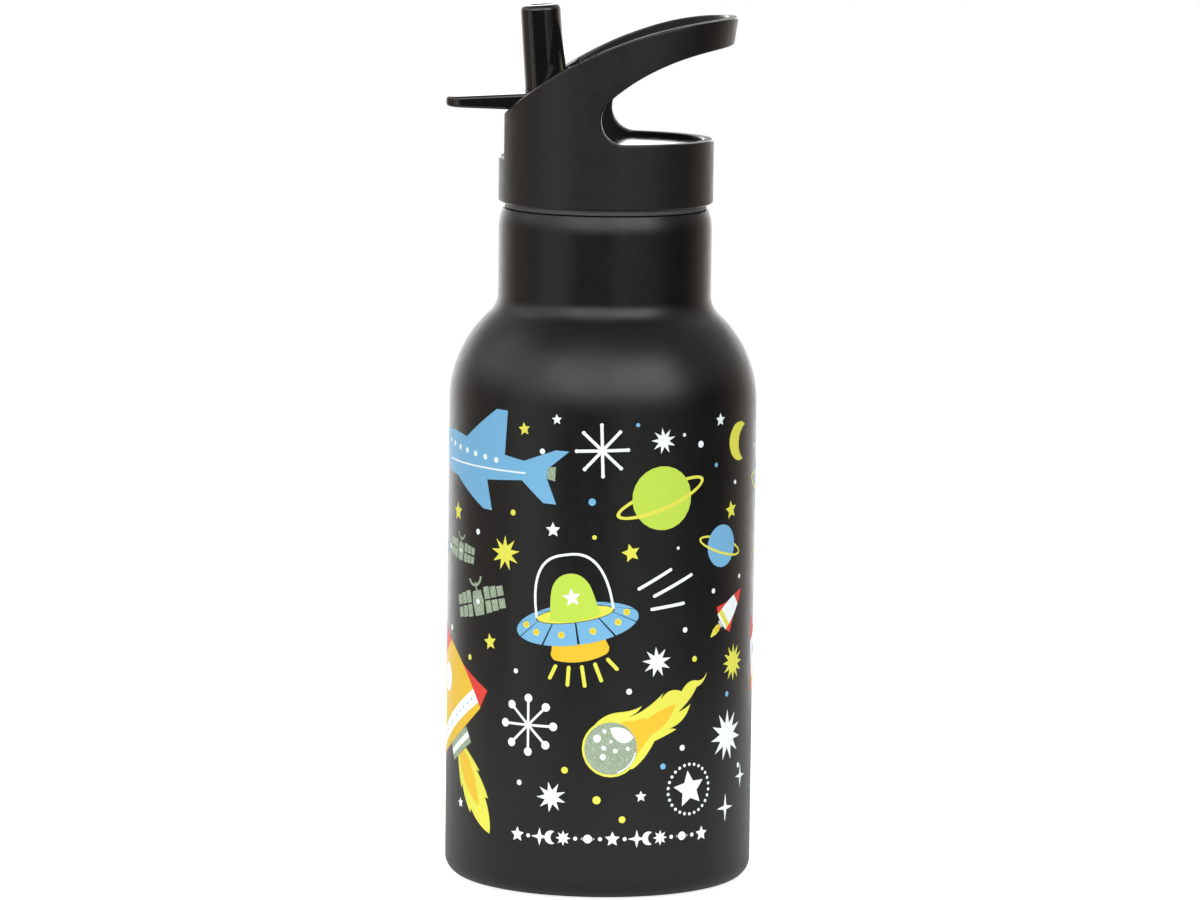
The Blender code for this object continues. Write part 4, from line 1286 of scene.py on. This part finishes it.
def stamp_front():
    """The side that the camera sees."""
    stamp(asterisk(8, 5.6, 0.7, 0.42), 3, 98.8, 2)
    stamp(star("white", 9, 2.9, 0.45), 26, 100.8, 8)
    stamp(planet(7.0, "lime", "yellow"), 26, 88.3, 20)
    stamp(planet(4.7, "blue", "yellow"), 54, 76.7, -16)
    stamp(crescent("yellow", 4.3), 65, 99.2, -8)
    stamp(shuttle(), -50, 94.5, -3)
    stamp(star("yellow", 9, 3.9, 0.45), -35, 75.2)
    stamp(satellite(4.2), -62, 74.0, -6)
    stamp(satellite(5.8), -49, 63.6, 14)
    stamp(saucer(13.9), -6, 60.8, 9)
    stamp(dashes(6.0), 27.5, 68.6)
    stamp(rocket(10.5, 2.3, "white", "yellow", "white"), 54.5, 59.8, -51)
    stamp(star("white", 9, 3.4, 0.45), 24.5, 52.4, 5)
    stamp(star("yellow", 12, 4.1, 0.5), 62.5, 50.4)
    stamp(asterisk(8, 5.9, 0.55, 0.95), -24, 38)
    stamp(comet(5.8), 7.5, 33.6)
    stamp(star("white", 11, 5.7, 0.48), 59, 34.4)
    stamp(rocket(28.0, 12.0, "orange", "white", "white"), -64, 33.6, 33)
    stamp(ringed_star(5.5), 39, 23.8, 8)
    stamp(star("white", 9, 3.4, 0.45), -14.5, 22.5, 12)
    stamp(star("white", 4, 2.6, 0.24), 70, 24.5)
    stamp(star("white", 4, 3.1, 0.22), 58.5, 18.3)
    small_stars = ((-27, 102.8, "yellow", 1.5), (-14, 105.3, "white", 1.2), (52, 104.5, "white", 1.5),
                   (-65, 82.4, "yellow", 2.2), (-15, 81.2, "white", 1.7), (14, 76.5, "yellow", 2.1),
                   (59.5, 84.3, "yellow", 2.1), (-42, 55.2, "yellow", 1.9), (-60, 18, "white", 1.2),
                   (19, 22.9, "white", 1.3))
    for azimuth, height, colour, size in small_stars:
        stamp(star(colour, 5, size, 0.48), azimuth, height, azimuth % 17)
    dots = ((-19.5, 98.2, "white", 0.62), (16, 104.4, "blue", 0.45), (42, 99.6, "white", 0.75),
            (-0.5, 87.6, "blue", 0.80), (-31.5, 84.3, "yellow", 0.65), (50, 94.7, "blue", 0.5),
            (62, 90.3, "white", 0.5), (-49.5, 79, "white", 0.65), (0.5, 79.9, "yellow", 0.5),
            (32.5, 77.2, "white", 0.35), (-71, 56.1, "white", 0.7), (-54, 50.9, "yellow", 0.65),
            (-29.5, 49.6, "white", 0.55), (14, 46.1, "white", 0.65), (36, 59.1, "white", 0.6),
            (40.5, 52.5, "yellow", 0.65), (58.5, 43.6, "blue", 0.6), (-27.5, 25.1, "white", 0.6),
            (-9.5, 28.6, "yellow", 0.75), (2.5, 22.2, "yellow", 0.9), (27.5, 29.3, "blue", 0.65),
            (35.5, 33.1, "white", 0.65), (12, 17.9, "yellow", 0.75), (49.5, 67, "white", 0.55),
            (68, 27, "white", 0.6), (66.5, 69.2, "white", 0.5), (34.5, 101.9, "white", 0.4),
            (-74, 74, "white", 0.6))
    for azimuth, height, colour, size in dots:
        stamp(dot(colour, size), azimuth, height)
    ornaments = (star("white", 5, 1.7, 0.48), dot("white", 0.45), star("white", 4, 2.0, 0.3),
                 crescent("white", 1.5), star("white", 8, 1.7, 0.5), dot("white", 0.45),
                 planet(0.95, "white", "white"), dot("white", 0.45))
    for step in range(17):
        stamp(ornaments[step % len(ornaments)], -28 + 73 * step / 16, 13.6)


def stamp_back():
    """The side away from the camera, with the same motifs in another order."""
    large = ((95, 88, planet(6.4, "blue", "yellow"), -14, 10.5), (122, 62, satellite(6.5), 24, 10.0),
             (93, 44, rocket(17.0, 4.2, "white", "yellow", "blue"), 24, 20.0), (158, 86, saucer(11.5), -7, 14.0),
             (150, 40, comet(5.2), 208, 15.0), (190, 62, planet(7.0, "lime", "yellow"), 17, 11.5),
             (196, 30, ringed_star(4.8), 5, 6.5), (222, 88, rocket(17.0, 5.6, "orange", "white", "white"), -34, 18.0),
             (236, 52, rock(4.6), 30, 6.5), (224, 32, asterisk(8, 5.6, 0.5, 0.9), 8, 7.5),
             (258, 76, crescent("yellow", 4.4), 15, 6.0), (120, 24, star("white", 11, 4.6, 0.42), 3, 6.5),
             (256, 52, star("yellow", 10, 3.4, 0.42), 3, 5.0), (128, 98, star("white", 9, 2.8, 0.42), 9, 5.0),
             (250, 98, asterisk(8, 4.4, 0.7, 0.36), 3, 6.0), (190, 98, striped_planet(5.2), 12, 8.5),
             (262, 23, star("white", 9, 3.2, 0.42), 3, 5.0))
    taken = [(271, 96, 13.0), (272, 52, 13.0), (282, 38, 15.0)]
    for azimuth, height, shapes, turn, reach in large:
        stamp(shapes, azimuth, height, turn)
        taken.append((azimuth, height, reach))
    dice = random.Random(11)
    per_degree = math.radians(BODY_RADIUS * 1000)
    for attempt in range(900):
        azimuth = dice.uniform(82, 278)
        height = dice.uniform(14, 104)
        size = dice.choice((0.5, 0.6, 0.7, 0.8, 1.2, 1.6, 2.0))
        colour = dice.choice(("white", "white", "white", "yellow", "yellow", "blue"))
        near = any(math.hypot((azimuth - a) * per_degree, height - h) < reach + size
                   for a, h, reach in taken)
        if not near:
            stamp(star(colour, 5, size, 0.46) if size > 1 else dot(colour, size), azimuth, height, attempt)
            taken.append((azimuth, height, size + 3.4))


def ink_mesh(name, outlines):
    """Thin closed islands of ink, bent round the bottle."""
    wall = BODY_RADIUS - INK_ROOM

    def build(work):
        for layer, outline in outlines:
            flat = bmesh.new()
            flat.faces.new([flat.verts.new((x, y, 0.0)) for x, y in outline])
            flat.normal_update()
            bmesh.ops.triangulate(flat, faces=flat.faces, ngon_method="EAR_CLIP")
            low = min(x for x, _ in outline)
            high = max(x for x, _ in outline)
            cut = math.floor(low / INK_STEP) + 1
            while cut * INK_STEP < high:
                bmesh.ops.bisect_plane(
                    flat, geom=flat.verts[:] + flat.edges[:] + flat.faces[:], dist=1e-7,
                    plane_co=(cut * INK_STEP, 0.0, 0.0), plane_no=(1.0, 0.0, 0.0))
                cut += 1
            top = wall + INK_LAYER * (0.6 + 0.6 * layer)
            sides = []
            for radius in (top, wall - INK_LAYER):
                sides.append({v: work.verts.new((radius * math.sin(v.co.x / BODY_RADIUS),
                                                 -radius * math.cos(v.co.x / BODY_RADIUS), v.co.y))
                              for v in flat.verts})
            outer, inner = sides
            for face in flat.faces:
                work.faces.new([outer[v] for v in face.verts])
                work.faces.new([inner[v] for v in reversed(face.verts)])
            for edge in flat.edges:
                if edge.is_boundary:
                    a, b = edge.verts
                    work.faces.new((outer[a], inner[a], inner[b], outer[b]))
            flat.free()

    return mesh_from(name, build)


def make_print():
    stamp_front()
    stamp_back()
    for name, colour in INKS.items():
        finish = glitter_ink(name, colour) if name == "silver" else ink(name, colour)
        piece("print_" + name, ink_mesh("print_" + name, printed[name]), finish, "bottle",
              "print_" + name)


# ---- Pieces kept from the CAD -----------------------------------------------------------------

def finish_hidden_parts(rubber):
    bare = steel("bare_steel", (0.60, 0.59, 0.57), (0.24, 0.34), (1.0, 1.0, 0.05))
    tin = steel("tin_solder", (0.52, 0.52, 0.53), (0.38, 0.50), (1.0, 1.0, 1.0))
    pill = steel("getter_alloy", (0.29, 0.28, 0.27), (0.55, 0.68), (1.0, 1.0, 1.0))
    finishes = {
        "inner_liner": bare, "liner_bottom": bare, "outer_base": bare, "vacuum_seal": tin,
        "getter": pill, "straw": straw_plastic(), "spout_seal": rubber, "vent_valve": rubber}
    for node, finish in finishes.items():
        for place in frame["nodes"][node].material_slots:
            place.material = finish


def main():
    bpy.context.scene.view_settings.view_transform = "Standard"
    make_camera()
    make_world()
    make_stage()
    coat = powder_coat()
    rubber = silicone()
    glossy = glossy_lid()
    make_bottle_wall(coat)
    make_foot_disc(coat)
    make_lid(matte_lid())
    make_plug(glossy)
    make_gasket(rubber)
    make_mouthpiece(glossy)
    make_print()
    finish_hidden_parts(rubber)


main()
